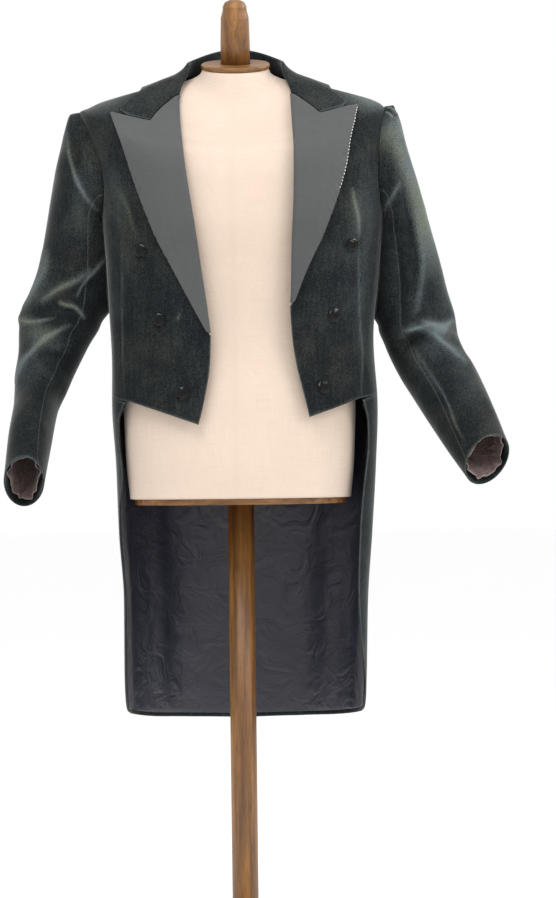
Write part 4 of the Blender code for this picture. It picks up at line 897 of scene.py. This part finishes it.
def math_node(tree, operation, *inputs, **settings):
    """A maths node's result; its inputs go in order."""
    made = add_node(tree, "ShaderNodeMath", dict(enumerate(inputs)), operation=operation, **settings)
    return made.outputs[0]


def stretched(tree, vector, **settings):
    """Places scaled or turned, so that a texture on them is stretched or slanted."""
    return add_node(tree, "ShaderNodeMapping", {"Vector": vector, **settings}).outputs[0]


def shaded(tree, colour, share):
    """A colour made darker or lighter by a share."""
    return add_node(tree, "ShaderNodeVectorMath", {0: colour, "Scale": share}, operation="SCALE").outputs[0]


def bump(tree, height, strength, distance, **more):
    return add_node(tree, "ShaderNodeBump", {"Height": height, "Strength": strength,
                                             "Distance": distance, **more}).outputs[0]


def object_spot(tree):
    return add_node(tree, "ShaderNodeTexCoord").outputs["Object"]


def flat_spot(tree):
    return add_node(tree, "ShaderNodeUVMap", uv_map="cut").outputs[0]


def plug(tree, shader, **outputs):
    """Link outputs to a shader's sockets."""
    for socket, output in outputs.items():
        tree.links.new(output, shader.inputs[socket.replace("_", " ")])


def new_finish(name, **constants):
    """A material with constant values on its shader, and its node tree and shader."""
    made = bpy.data.materials.new(name)
    made.use_nodes = True
    shader = made.node_tree.nodes["Principled BSDF"]
    for socket, value in constants.items():
        shader.inputs[socket.replace("_", " ")].default_value = value
    return made, made.node_tree, shader


def lay_threads(tree, shader):
    """Turn a shader's stretched gloss along the threads of the flat cut."""
    threads = add_node(tree, "ShaderNodeTangent", direction_type="UV_MAP", uv_map="cut").outputs[0]
    plug(tree, shader, Tangent=threads)


def velvet_finish():
    """Cotton velvet, woven with a cut pile: black-green face on, pale where the pile leans and where
    highlights are painted.
    """
    made, tree, shader = new_finish(
        "cut_pile_velvet", Sheen_Weight=0.55, Sheen_Roughness=0.3, Sheen_Tint=linear("b4b9b6"),
        Specular_IOR_Level=0.08)
    spot = object_spot(tree)
    # The pile attribute holds how pale the pile lies, with painted highlight on fold ridges, creases, edges
    # and lit areas and painted shade in fold hollows
    pile_lie_and_highlight = add_node(tree, "ShaderNodeAttribute", attribute_name="pile").outputs["Fac"]
    crushed = noise(tree, spot, 22.0, Detail=5.0, Roughness=0.6)
    # Tufts of 0.3 mm are too fine for the render, so they are drawn at 2 mm
    tufts = noise(tree, spot, 500.0, Detail=3.0, Roughness=0.7)
    rows = noise(tree, stretched(tree, spot, Scale=(1.0, 1.0, 0.06)), 330.0, Detail=2.0, Roughness=0.6)
    brushed = ranged(tree, rows, -0.04, 0.04, 0.3, 0.7)
    leaning = ranged(tree, crushed, 0.0, 0.14, 0.35, 0.75)
    grained = ranged(tree, tufts, -0.14, 0.14, 0.3, 0.7)
    broken = ranged(tree, tufts, 0.55, 1.45, 0.3, 0.7)
    wear_and_highlight = math_node(tree, "MULTIPLY_ADD", pile_lie_and_highlight, broken, leaning)
    mottled = math_node(tree, "ADD", grained, brushed)
    share = math_node(tree, "ADD", wear_and_highlight, mottled, use_clamp=True)
    patches = ranged(tree, noise(tree, spot, 11.0, Detail=3.0), 0.0, 1.0, 0.42, 0.62)
    colour = blend(tree, share, "141719", blend(tree, patches, "5b6466", "60655a"))
    fine = bump(tree, tufts, 0.35, 0.0006)
    plug(tree, shader, Base_Color=colour, Roughness=ranged(tree, crushed, 0.95, 0.7),
         Normal=bump(tree, crushed, 0.5, 0.003, Normal=fine))
    return made


def silk_finish():
    """Faille, a silk woven with fine cross ribs: mid grey, dull, with a soft shine along the ribs."""
    made, tree, shader = new_finish(
        "ribbed_silk_faille", Sheen_Weight=0.25, Sheen_Roughness=0.4, Sheen_Tint=linear("c9cdcd"),
        Specular_IOR_Level=0.35, Anisotropic=0.35)
    lay_threads(tree, shader)
    tilt = stretched(tree, flat_spot(tree), Rotation=(0, 0, 0.12))
    # Ribs of 0.6 mm are too fine for the render, so they are drawn at 2.4 mm
    ribs = add_node(tree, "ShaderNodeTexWave",
                    {"Vector": tilt, "Scale": BAND_APART / RIB_APART, "Distortion": 0.6, "Detail": 2.0,
                     "Detail Scale": 1.5}, bands_direction="Y").outputs["Fac"]
    cloudy = noise(tree, object_spot(tree), 16.0, Detail=4.0)
    slubs = noise(tree, stretched(tree, tilt, Scale=(90.0, 1400.0, 1.0)), 1.0, Detail=2.0)
    threads = ranged(tree, slubs, 0.82, 1.12, 0.3, 0.7)
    shade = math_node(tree, "MULTIPLY", threads, ranged(tree, ribs, 0.95, 1.03))
    plug(tree, shader, Base_Color=shaded(tree, blend(tree, cloudy, "414243", "4c4d4d"), shade),
         Roughness=ranged(tree, cloudy, 0.5, 0.7), Normal=bump(tree, ribs, 0.25, 0.0003))
    return made


def satin_finish(name, dark, pale, crumple):
    """Lining satin, smooth floats over a fine weave: glossy, crumpled by wear, with painted highlights on the
    crumples.
    """
    made, tree, shader = new_finish(name, Specular_IOR_Level=0.6, Sheen_Weight=0.15,
                                    Sheen_Roughness=0.3, Anisotropic=0.5)
    lay_threads(tree, shader)
    folds = noise(tree, object_spot(tree), 26.0, Detail=5.0, Roughness=0.55, Distortion=1.2)
    # The colour runs paler with the same noise that crumples the surface: painted highlight on the crumples
    plug(tree, shader, Base_Color=blend(tree, folds, dark, pale), Roughness=ranged(tree, folds, 0.28, 0.5),
         Normal=bump(tree, folds, 0.9, crumple))
    return made


def glass_finish():
    """Black pressed glass with ground facets: hard bright points on near black."""
    made, tree, shader = new_finish("faceted_black_glass", Specular_IOR_Level=0.2, IOR=1.52)
    smears = noise(tree, object_spot(tree), 260.0, Detail=4.0)
    plug(tree, shader, Roughness=ranged(tree, smears, 0.02, 0.12),
         Base_Color=blend(tree, smears, "020203", "0a0a0c"))
    return made


def linen_finish():
    """Plain woven linen, stretched over the form: cream, dull, with thicker threads here and there."""
    made, tree, shader = new_finish("plain_woven_linen", Specular_IOR_Level=0.2, Sheen_Weight=0.15,
                                    Sheen_Roughness=0.5)
    flat = flat_spot(tree)
    # Threads of 0.5 mm are too fine for the render, so they are drawn at 3 mm
    waves = [add_node(tree, "ShaderNodeTexWave",
                      {"Vector": flat, "Scale": BAND_APART / THREAD_APART, "Distortion": 0.8, "Detail": 2.0},
                      bands_direction=way).outputs["Fac"] for way in ("X", "Y")]
    weave = math_node(tree, "MULTIPLY", *waves)
    slubs = [noise(tree, stretched(tree, flat, Scale=size), 1.0, Detail=3.0, Roughness=0.6)
             for size in ((25.0, 600.0, 1.0), (600.0, 25.0, 1.0))]
    clouds = noise(tree, object_spot(tree), 7.0, Detail=4.0)
    threads = ranged(tree, math_node(tree, "ADD", *slubs), 0.93, 1.04, 0.7, 1.3)
    plug(tree, shader, Base_Color=shaded(tree, blend(tree, clouds, "c8b5a4", "d2c0b1"), threads),
         Roughness=ranged(tree, weave, 0.95, 0.8), Normal=bump(tree, weave, 0.35, 0.0004))
    return made


def wood_finish(name, stretch):
    """Beech, turned and waxed: warm brown with long darker grain and short flecks."""
    made, tree, shader = new_finish(name, Specular_IOR_Level=0.45, Coat_Weight=0.12,
                                    Coat_Roughness=0.35)
    laid = stretched(tree, object_spot(tree), Scale=stretch)
    grain = noise(tree, laid, 90.0, Detail=6.0, Roughness=0.6, Distortion=0.4)
    flecks = noise(tree, laid, 700.0, Detail=2.0)
    first = blend(tree, ranged(tree, grain, 0.0, 1.0, 0.3, 0.7), "4a2b0f", "936530")
    plug(tree, shader, Base_Color=shaded(tree, first, ranged(tree, flecks, 0.72, 1.0, 0.35, 0.5)),
         Roughness=ranged(tree, grain, 0.35, 0.6), Normal=bump(tree, flecks, 0.2, 0.0005))
    return made


def add_piece(name, verts, faces, finish, nodes, cut=None, pile=None):
    """A finished piece with outward faces, which rides on the part's one body."""
    mesh = bpy.data.meshes.new(name)
    mesh.from_pydata(np.asarray(verts).tolist(), [], faces)
    shaper = bmesh.new()
    shaper.from_mesh(mesh)
    bmesh.ops.recalc_face_normals(shaper, faces=shaper.faces)
    shaper.to_mesh(mesh)
    shaper.free()
    mesh.shade_smooth()
    if cut is not None:
        corners = np.empty(len(mesh.loops), np.int32)
        mesh.loops.foreach_get("vertex_index", corners)
        mesh.uv_layers.new(name="cut").data.foreach_set("uv", np.asarray(cut)[corners].ravel())
    # The pile attribute is the velvet's painted paleness: partly the pile's own lie, partly painted highlight
    # and shade
    if pile is not None:
        mesh.attributes.new("pile", "FLOAT", "POINT").data.foreach_set("value", np.asarray(pile).ravel())
    mesh.materials.append(finish)
    made = bpy.data.objects.new(name, mesh)
    bpy.context.collection.objects.link(made)
    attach(made, "root")
    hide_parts(*nodes)
    return made


def turn_edges(layers, sides):
    """Add rows near a shell's sides so that its two faces turn round to meet.

    A layer holds a point of the outer face, a point of the inner face and how pale the pile is
    painted, and sides says how far each side turns round and how much paler its edge is painted,
    partly as wear and partly as painted highlight.
    """
    for side, (turn, paler) in sides.items():
        if side in ("start", "end"):
            layers = layers.swapaxes(0, 1)
        if side in ("high", "end"):
            layers = layers[::-1]
        edge, beside = layers[0], layers[1]
        half = np.linalg.norm(edge[:, :3] - edge[:, 3:6], axis=-1) / 2
        step = np.linalg.norm(beside[:, :3] - edge[:, :3], axis=-1)
        rows = []
        for distance, drop in EDGE_TURN:
            share = np.minimum(distance * half / step, 0.6 * distance)[:, None]
            row = edge + (beside - edge) * share
            middle = (row[:, :3] + row[:, 3:6]) / 2
            row[:, 3:6] = middle + (row[:, 3:6] - middle) * (1 - drop * turn)
            row[:, :3] = middle + (row[:, :3] - middle) * (1 - drop * turn)
            # Edges are painted paler: partly wear, partly painted highlight where the turned edge catches
            # light
            row[:, 6] += paler * (1 - 0.6 * distance)
            rows.append(row)
        layers = np.concatenate([np.stack(rows), layers[1:]], axis=0)
        if side in ("high", "end"):
            layers = layers[::-1]
        if side in ("start", "end"):
            layers = layers.swapaxes(0, 1)
    return layers


def flat_cut(face):
    """The flat place of each point of a face: along its rows and up its middle column."""
    middle = face.shape[1] // 2
    across = np.linalg.norm(np.diff(face, axis=1), axis=-1)
    across = np.concatenate([np.zeros((len(face), 1)), np.cumsum(across, axis=1)], axis=1)
    up = np.linalg.norm(np.diff(face[:, middle], axis=0), axis=-1)
    up = np.concatenate([[0], np.cumsum(up)])[:, None]
    return np.stack(np.broadcast_arrays(across - across[:, middle:middle + 1], up), axis=-1)


def shell(name, outer, inner, pile, finish, slot, nodes, seams=(), hidden=(), ring=False):
    """A thin closed shell of cloth between two grids, with turned edges.

    Pile is painted pale along seams and free edges, partly as wear and partly as painted highlight, but not
    along hidden sides.
    """
    layers = np.concatenate([outer, inner, pile[..., None]], axis=-1)
    edges = ("low", "high") if ring else ("low", "high", "start", "end")
    layers = turn_edges(layers, {edge: (1.0, 0.0) if edge in hidden else SEAM_EDGE if edge in seams
                                 else FREE_EDGE for edge in edges})
    rows, columns = layers.shape[:2]
    base = rows * columns
    verts = np.concatenate([layers[..., :3].reshape(-1, 3), layers[..., 3:6].reshape(-1, 3)])
    cut = flat_cut(layers[..., :3]).reshape(-1, 2)
    number = np.arange(base).reshape(rows, columns)
    beside = np.roll(number, -1, axis=1)
    span = columns if ring else columns - 1
    quads = np.stack([number[:-1, :span], beside[:-1, :span], beside[1:, :span], number[1:, :span]],
                     axis=-1).reshape(-1, 4)
    if ring:
        loops = [number[0], number[-1, ::-1]]
    else:
        loops = [np.concatenate([number[0], number[1:, -1], number[-1, -2::-1], number[-2:0:-1, 0]])]
    sides = [np.stack([np.roll(loop, -1), loop, base + loop, base + np.roll(loop, -1)], axis=-1)
             for loop in loops]
    faces = np.concatenate([quads, base + quads[:, ::-1]] + sides).tolist()
    shade = np.concatenate([layers[..., 6].ravel(), layers[..., 6].ravel() * 0.5])
    return add_piece(name, verts, faces, finish, nodes, np.concatenate([cut, cut]), shade)


def body_faces(side, grid, thick=VELVET, lift=0.0):
    """Both faces of a cloth over a grid of turns and levels on the coat's body."""
    turn, level = grid[..., 0], grid[..., 1]
    outer = cloth(side, turn, level, lift)
    normal = outward(lambda s, t, l: cloth(s, t, l, lift), side, turn, level)
    return outer, outer - normal * thick


def body_shell(name, node, side, grid, sides, finish, slot="velvet", thick=VELVET, lift=0.0):
    """A shell over a grid of turns and levels on the coat's body."""
    outer, inner = (trimmed(face, sides) for face in body_faces(side, grid, thick, lift))
    pile = body_pile_and_highlight(side, grid[..., 0], grid[..., 1])
    return shell(name, outer, inner, pile, finish, slot, (node,), sides)


def back_shell(name, node, side, finish):
    """Half the back, which meets the other half on the middle."""
    grid = back_patch(side)
    outer, inner = (trimmed(face, ("start", "high")) for face in body_faces(side, grid))
    for face in (outer, inner):
        face[:, -1, 0] = side * CENTRE_BACK_GAP / 2
    pile = body_pile_and_highlight(side, grid[..., 0], grid[..., 1])
    return shell(name, outer, inner, pile, finish, "velvet", (node,), ("start", "end", "high"))


def tail_lining(name, node, side, finish):
    """One satin sheet inside the tail, from its front edge to the vent behind."""
    behind = back_patch(side)[:TAIL_ROWS + 1, 1:]
    grid = np.concatenate([tail_patch(side), behind], axis=1)
    columns = grid.shape[1]
    fade = np.clip(1 - np.arange(columns) / FINE, 0, 1)
    grid[..., 0] += LINING_INSET_TURN * fade - LINING_INSET_TURN / 2 * fade[::-1]
    rise = np.clip(1 - np.arange(len(grid)) / FINE, 0, 1)[:, None]
    grid[..., 1] += LINING_INSET * (rise - rise[::-1])
    kept = np.append(np.arange(0, columns - 1, 2), columns - 1)
    return body_shell(name, node, side, grid[::2, kept], (), finish, "tail_satin", LINING,
                      -VELVET - LINING_GAP)


def sleeve_shell(name, node, side, first, last, finish):
    count = int(round((last - first) / ARMHOLE_STEP))
    around = np.linspace(first, last, count + 1)[None, :]
    place = np.linspace(0, len(SLEEVE[side]) - 1, SLEEVE_ROWS + 1)[:, None]
    outer, inner = sleeve_faces(side, around, place, VELVET)
    sides = ("low", "start", "end")
    return shell(name, trimmed(outer, sides), trimmed(inner, sides), sleeve_pile_and_highlight(side, around, place),
                 finish, "velvet", (node,), sides)


# A cuff lining's reach along the sleeve in its rows, and the uneven edge it shows
CUFF_DEEP, CUFF_SHORT = 1.35, 0.10
CUFF_WAVES = ((3, 0.4, 0.4), (5, 1.9, 0.3), (9, 0.2, 0.35), (14, 0.7, 0.25))
CUFF_RUMPLE, CUFF_TWIST = 0.0042, 2.4
RUMPLE_FROM, RUMPLE_OVER = 0.9, 0.8


def cuff_lining(name, node, side, finish):
    """The sleeve lining as far as it shows inside the cuff, rumpled at its edge."""
    around = np.arange(0, 360, 2 * ARMHOLE_STEP)[None, :]
    last = len(SLEEVE[side]) - 1
    place = np.linspace(last - CUFF_DEEP, last - CUFF_SHORT, 4 * FINE)[:, None]
    wave = sum(size * np.sin(np.radians(around) * count + shift * side + CUFF_TWIST * place)
               for count, shift, size in CUFF_WAVES)
    near = smooth_step((place - last + RUMPLE_FROM) / RUMPLE_OVER)
    rumple = CUFF_RUMPLE * near * (wave - 1.0)
    return shell(name, *sleeve_faces(side, around, place, LINING, -VELVET - LINING_GAP + rumple[..., None]),
                 np.zeros(rumple.shape), finish, "cuff_satin", (node,), ring=True)


def collar(finish):
    """The collar, from one front end round the neck to the other."""
    halves = [collar_half(side) for side in (LEFT, RIGHT)]
    whole = []
    for left_face, right_face in zip(*halves):
        left_face[:, -1, 0] = 0.0
        whole.append(np.concatenate([left_face, right_face[:, -2::-1]], axis=1))
    rows, columns = whole[0].shape[:2]
    pile = np.full((rows, columns), 0.05)
    return shell("velvet_collar", whole[0], whole[1], pile, finish, "velvet", ("collar",),
                 hidden=("low", "start", "end"))


# Hand stitches along the left lapel's outer edge, between two heights
STITCH_FROM, STITCH_TO = 1.285, 1.404
STITCH_INSET = 0.0010
STITCH_SPACING, STITCH_LENGTH, STITCH_THICK = 0.0052, 0.0030, 0.0011
STITCH_SEED = 5


def thread_finish():
    """Pale silk thread: twisted, so it is a little glossy and its colour is broken."""
    made, tree, shader = new_finish("pale_silk_thread", Roughness=0.55, Specular_IOR_Level=0.4,
                                    Sheen_Weight=0.2)
    twist = noise(tree, object_spot(tree), 900.0, Detail=2.0)
    plug(tree, shader, Base_Color=blend(tree, twist, "c3c6c4", "f0f2ee"),
         Normal=bump(tree, twist, 0.4, 0.0002))
    return made


def stitch_tree(finish):
    """Nodes that set stitches along a line: evenly spaced, with uneven lengths and slants."""
    tree = bpy.data.node_groups.new("stitches_along_a_line", "GeometryNodeTree")
    sockets = tree.interface
    sockets.new_socket("Line", in_out="INPUT", socket_type="NodeSocketGeometry")
    for name in ("Spacing", "Stitch Length", "Thread Thickness"):
        sockets.new_socket(name, in_out="INPUT", socket_type="NodeSocketFloat")
    sockets.new_socket("Stitches", in_out="OUTPUT", socket_type="NodeSocketGeometry")
    given = add_node(tree, "NodeGroupInput").outputs
    line = add_node(tree, "GeometryNodeMeshToCurve", {"Mesh": given["Line"]}).outputs[0]
    spots = add_node(tree, "GeometryNodeCurveToPoints", {"Curve": line, "Length": given["Spacing"]},
                     mode="LENGTH").outputs
    along = add_node(tree, "FunctionNodeAlignRotationToVector", {"Vector": spots["Tangent"]},
                     axis="Z").outputs[0]
    slant = add_node(tree, "FunctionNodeRandomValue",
                     {0: (-0.25, -0.25, 0.0), 1: (0.25, 0.25, 0.0), "Seed": STITCH_SEED},
                     data_type="FLOAT_VECTOR").outputs[0]
    slanted = add_node(tree, "FunctionNodeRotateRotation",
                       {"Rotation": along, "Rotate By": add_node(tree, "FunctionNodeEulerToRotation",
                                                                 {0: slant}).outputs[0]}).outputs[0]
    uneven = add_node(tree, "FunctionNodeRandomValue",
                      {0: (0.9, 0.9, 0.6), 1: (1.1, 1.1, 1.2), "Seed": STITCH_SEED + 1},
                      data_type="FLOAT_VECTOR").outputs[0]
    bead = add_node(tree, "GeometryNodeMeshUVSphere", {"Segments": 10, "Rings": 8, "Radius": 0.5}).outputs[0]
    size = add_node(tree, "ShaderNodeCombineXYZ", {0: given["Thread Thickness"], 1: given["Thread Thickness"],
                                                   2: given["Stitch Length"]}).outputs[0]
    stitch = add_node(tree, "GeometryNodeTransform", {"Geometry": bead, "Scale": size}).outputs[0]
    placed = add_node(tree, "GeometryNodeInstanceOnPoints",
                      {"Points": spots["Points"], "Instance": stitch, "Rotation": slanted,
                       "Scale": uneven}).outputs[0]
    solid = add_node(tree, "GeometryNodeRealizeInstances", {0: placed}).outputs[0]
    done = add_node(tree, "GeometryNodeSetMaterial", {"Geometry": solid, "Material": finish}).outputs[0]
    add_node(tree, "NodeGroupOutput", {0: done})
    return tree


def lapel_stitches(side):
    """The row of stitches that shows along a lapel's outer edge."""
    outer = lapel_faces(side)[0]
    edge, beside = outer[:, -1], outer[:, -2]
    line = edge + unit(beside - edge) * STITCH_INSET
    line = line[(edge[:, 2] > STITCH_FROM) & (edge[:, 2] < STITCH_TO)]
    path = bpy.data.meshes.new("stitch_line")
    path.from_pydata(line.tolist(), [(k, k + 1) for k in range(len(line) - 1)], [])
    holder = bpy.data.objects.new("stitch_line", path)
    bpy.context.collection.objects.link(holder)
    finish = thread_finish()
    tree = stitch_tree(finish)
    modifier = holder.modifiers.new("stitches", "NODES")
    modifier.node_group = tree
    sizes = {"Spacing": STITCH_SPACING, "Stitch Length": STITCH_LENGTH, "Thread Thickness": STITCH_THICK}
    for item in tree.interface.items_tree:
        if item.name in sizes:
            modifier[item.identifier] = sizes[item.name]
    mesh = bpy.data.meshes.new_from_object(holder.evaluated_get(bpy.context.evaluated_depsgraph_get()))
    holder.modifiers.remove(modifier)
    bpy.data.objects.remove(holder)
    mesh.shade_smooth()
    made = bpy.data.objects.new("lapel_stitches", mesh)
    bpy.context.collection.objects.link(made)
    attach(made, "root")


def ring_faces(rows, columns):
    """The faces of a solid made of rings, with a flat face at each end."""
    number = np.arange(rows * columns).reshape(rows, columns)
    beside = np.roll(number, -1, axis=1)
    quads = np.stack([number[:-1], beside[:-1], beside[1:], number[1:]], axis=-1).reshape(-1, 4)
    return [number[0, ::-1].tolist(), number[-1].tolist()] + quads.tolist()


def lathe(name, node, profile, centre, axis, finish):
    """A turned wooden solid, from a profile of radius and height along an axis."""
    axis = unit(np.array(axis, float))
    aside = unit(np.cross(axis, (0, 1, 0.01) if abs(axis[1]) < 0.9 else (1, 0, 0.01)))
    across = np.cross(axis, aside)
    angle = np.linspace(0, 2 * math.pi, LATHE_SIDES, endpoint=False)
    rim = np.cos(angle)[:, None] * aside + np.sin(angle)[:, None] * across
    rings = np.array([np.array(centre) + rim * radius + axis * height for radius, height in profile])
    return add_piece(name, rings.reshape(-1, 3), ring_faces(*rings.shape[:2]), finish,
                     (node,))


def rounded(profile, radius=CORNER_ROUND, steps=3):
    """A profile with a small round at each inner corner."""
    points = np.array(profile, float)
    made = [points[0]]
    for before, here, after in zip(points, points[1:], points[2:]):
        back, ahead = before - here, after - here
        reach = min(radius, 0.45 * np.linalg.norm(back), 0.45 * np.linalg.norm(ahead))
        start = here + back / np.linalg.norm(back) * reach
        end = here + ahead / np.linalg.norm(ahead) * reach
        for t in np.linspace(0, 1, steps + 1):
            made.append((1 - t) ** 2 * start + 2 * t * (1 - t) * here + t ** 2 * end)
    made.append(points[-1])
    return [tuple(point) for point in made]


# The columns for a cloth piece's flat cut: the size of the rectangle round it, its area, and how it hangs
CUT_COLUMNS = ("piece", "width", "length", "area", "held", "rests_on")


def main():
    velvet = velvet_finish()
    silk = silk_finish()
    tail_satin = satin_finish("blue_black_lining_satin", "15161f", "2b2c3a", 0.004)
    cuff_satin = satin_finish("brown_pink_lining_satin", "4a3c3b", "a08d89", 0.009)
    for word, side in (("left", LEFT), ("right", RIGHT)):
        body_shell(f"velvet_front_{word}", f"front_{word}", side, front_patch(side), ("high", "end"), velvet)
        body_shell(f"velvet_side_{word}", f"side_{word}", side, side_patch(side),
                   ("low", "high", "start", "end"), velvet)
        back_shell(f"velvet_back_{word}", f"back_{word}", side, velvet)
        body_shell(f"velvet_tail_{word}", f"tail_{word}", side, tail_patch(side), ("high", "end"), velvet)
        tail_lining(f"satin_tail_{word}", f"tail_lining_{word}", side, tail_satin)
        outer, inner = lapel_faces(side)
        shell(f"silk_lapel_{word}", outer, inner, np.zeros(outer.shape[:2]), silk, "ribbed_silk",
              (f"lapel_{word}",))
        sleeve_shell(f"velvet_top_sleeve_{word}", f"top_sleeve_{word}", side, HIND_ARM_SEAM - 360,
                     FRONT_ARM_SEAM, velvet)
        sleeve_shell(f"velvet_under_sleeve_{word}", f"under_sleeve_{word}", side, FRONT_ARM_SEAM,
                     HIND_ARM_SEAM, velvet)
        cuff_lining(f"satin_cuff_{word}", f"cuff_lining_{word}", side, cuff_satin)
    collar(velvet)
    glass = glass_finish()
    for node in [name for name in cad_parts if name.startswith("button")]:
        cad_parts[node].material_slots[0].material = glass
    make_form()
    lapel_stitches(LEFT)


def make_form():
    linen = linen_finish()
    upright = wood_finish("turned_beech_upright", (1.0, 1.0, 0.06))
    across = wood_finish("turned_beech_across", (0.06, 1.0, 1.0))
    rings = np.array([form_ring(level) for level in np.linspace(FORM[0][0], FORM[-1][0], FORM_RINGS)])
    torso = add_piece("linen_torso", rings.reshape(-1, 3), ring_faces(*rings.shape[:2]), linen,
                      ("form_torso",), flat_cut(rings).reshape(-1, 2))
    tilt = np.array([0, -math.sin(NECK_TILT), math.cos(NECK_TILT)])
    disc_foot = np.array([0, 0, DISC_FOOT])
    disc = ((DISC_RADIUS - DISC_EDGE, 0.0), (DISC_RADIUS, DISC_EDGE), (DISC_RADIUS, DISC_THICK - DISC_EDGE),
            (DISC_RADIUS - DISC_EDGE, DISC_THICK), (DISC_TOP, DISC_THICK))
    lathe("beech_disc", "neck_disc", rounded(disc), disc_foot, tilt, across)
    peg_foot = disc_foot + tilt * (DISC_THICK + LAYER_GAP)
    lathe("beech_peg", "neck_peg", rounded(PEG_PROFILE), peg_foot, tilt, upright)
    lathe("beech_foot", "stand_foot", rounded(FOOT_PROFILE, FOOT_ROUND), (0, 0, 0), (0, 0, 1), across)
    socket_foot = FOOT_PROFILE[-1][1] + LAYER_GAP
    socket = rounded(SOCKET_PROFILE, SOCKET_ROUND)
    lathe("beech_socket", "stand_socket", socket, (0, 0, socket_foot), (0, 0, 1), across)
    pole_foot = socket_foot + SOCKET_PROFILE[-1][1] + LAYER_GAP
    pole_head = FORM[0][0] - BOARD_THICK - 2 * LAYER_GAP
    pole = ((POLE_RADIUS, 0.0), (POLE_RADIUS, pole_head - pole_foot))
    lathe("beech_pole", "stand_pole", pole, (0, 0, pole_foot), (0, 0, 1), upright)
    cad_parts["form_board"].material_slots[0].material = across


LAMP_COLUMNS = ("name", "place", "size", "power")
LAMPS = (
    ("key", (-0.7, -1.9, 3.9), 1.6, 62),
    ("fill", (2.4, -1.9, 2.6), 1.6, 34),
    ("rim", (3.0, 0.9, 2.9), 1.4, 45),
)
LAMP_AIM = (0, 0, 1.1)
FLOOR_REACH = 30
# The camera looks along +Y at the height of the photograph's middle, a little rolled, and
# sees 1.302 m from top to bottom at the coat, which is 898 pixels of 1.45 mm
CAMERA_PLACE = (0.0549, -4.5, 0.918)
CAMERA_ROLL = math.radians(0.7)
SENSOR_MM = 36
SEEN_TALL = 1.302


def light_and_camera():
    """Plain pale floor, soft studio light and the photograph's camera."""
    bpy.context.scene.view_settings.view_transform = "Standard"
    world = bpy.data.worlds.new("pale_room")
    bpy.context.scene.world = world
    world.use_nodes = True
    tree = world.node_tree
    tree.nodes["Background"].inputs["Color"].default_value = (1, 1, 1, 1)
    tree.nodes["Background"].inputs["Strength"].default_value = 1.0
    mesh = bpy.data.meshes.new("floor")
    corners = ((-1, -1), (1, -1), (1, 1), (-1, 1))
    mesh.from_pydata([(x * FLOOR_REACH, y * FLOOR_REACH, 0) for x, y in corners], [], [(0, 1, 2, 3)])
    floor = bpy.data.objects.new("floor", mesh)
    mesh.materials.append(new_finish("pale_floor", Roughness=0.9, Base_Color=linear("fdfdfd"))[0])
    bpy.context.collection.objects.link(floor)
    for name, place, size, power in LAMPS:
        lamp = bpy.data.lights.new(name, "AREA")
        lamp.size = size
        lamp.energy = power
        made = bpy.data.objects.new(name, lamp)
        made.location = place
        made.rotation_euler = (Vector(place) - Vector(LAMP_AIM)).to_track_quat("Z", "Y").to_euler()
        bpy.context.collection.objects.link(made)
    lens = bpy.data.cameras.new("photo_camera")
    lens.lens = SENSOR_MM * -CAMERA_PLACE[1] / SEEN_TALL
    camera = bpy.data.objects.new("photo_camera", lens)
    facing = Vector((0, 1, 0)).to_track_quat("-Z", "Y").to_matrix().to_4x4()
    camera.matrix_world = Matrix.Translation(CAMERA_PLACE) @ facing @ Matrix.Rotation(-CAMERA_ROLL, 4, "Z")
    bpy.context.collection.objects.link(camera)
    bpy.context.scene.camera = camera


light_and_camera()
main()
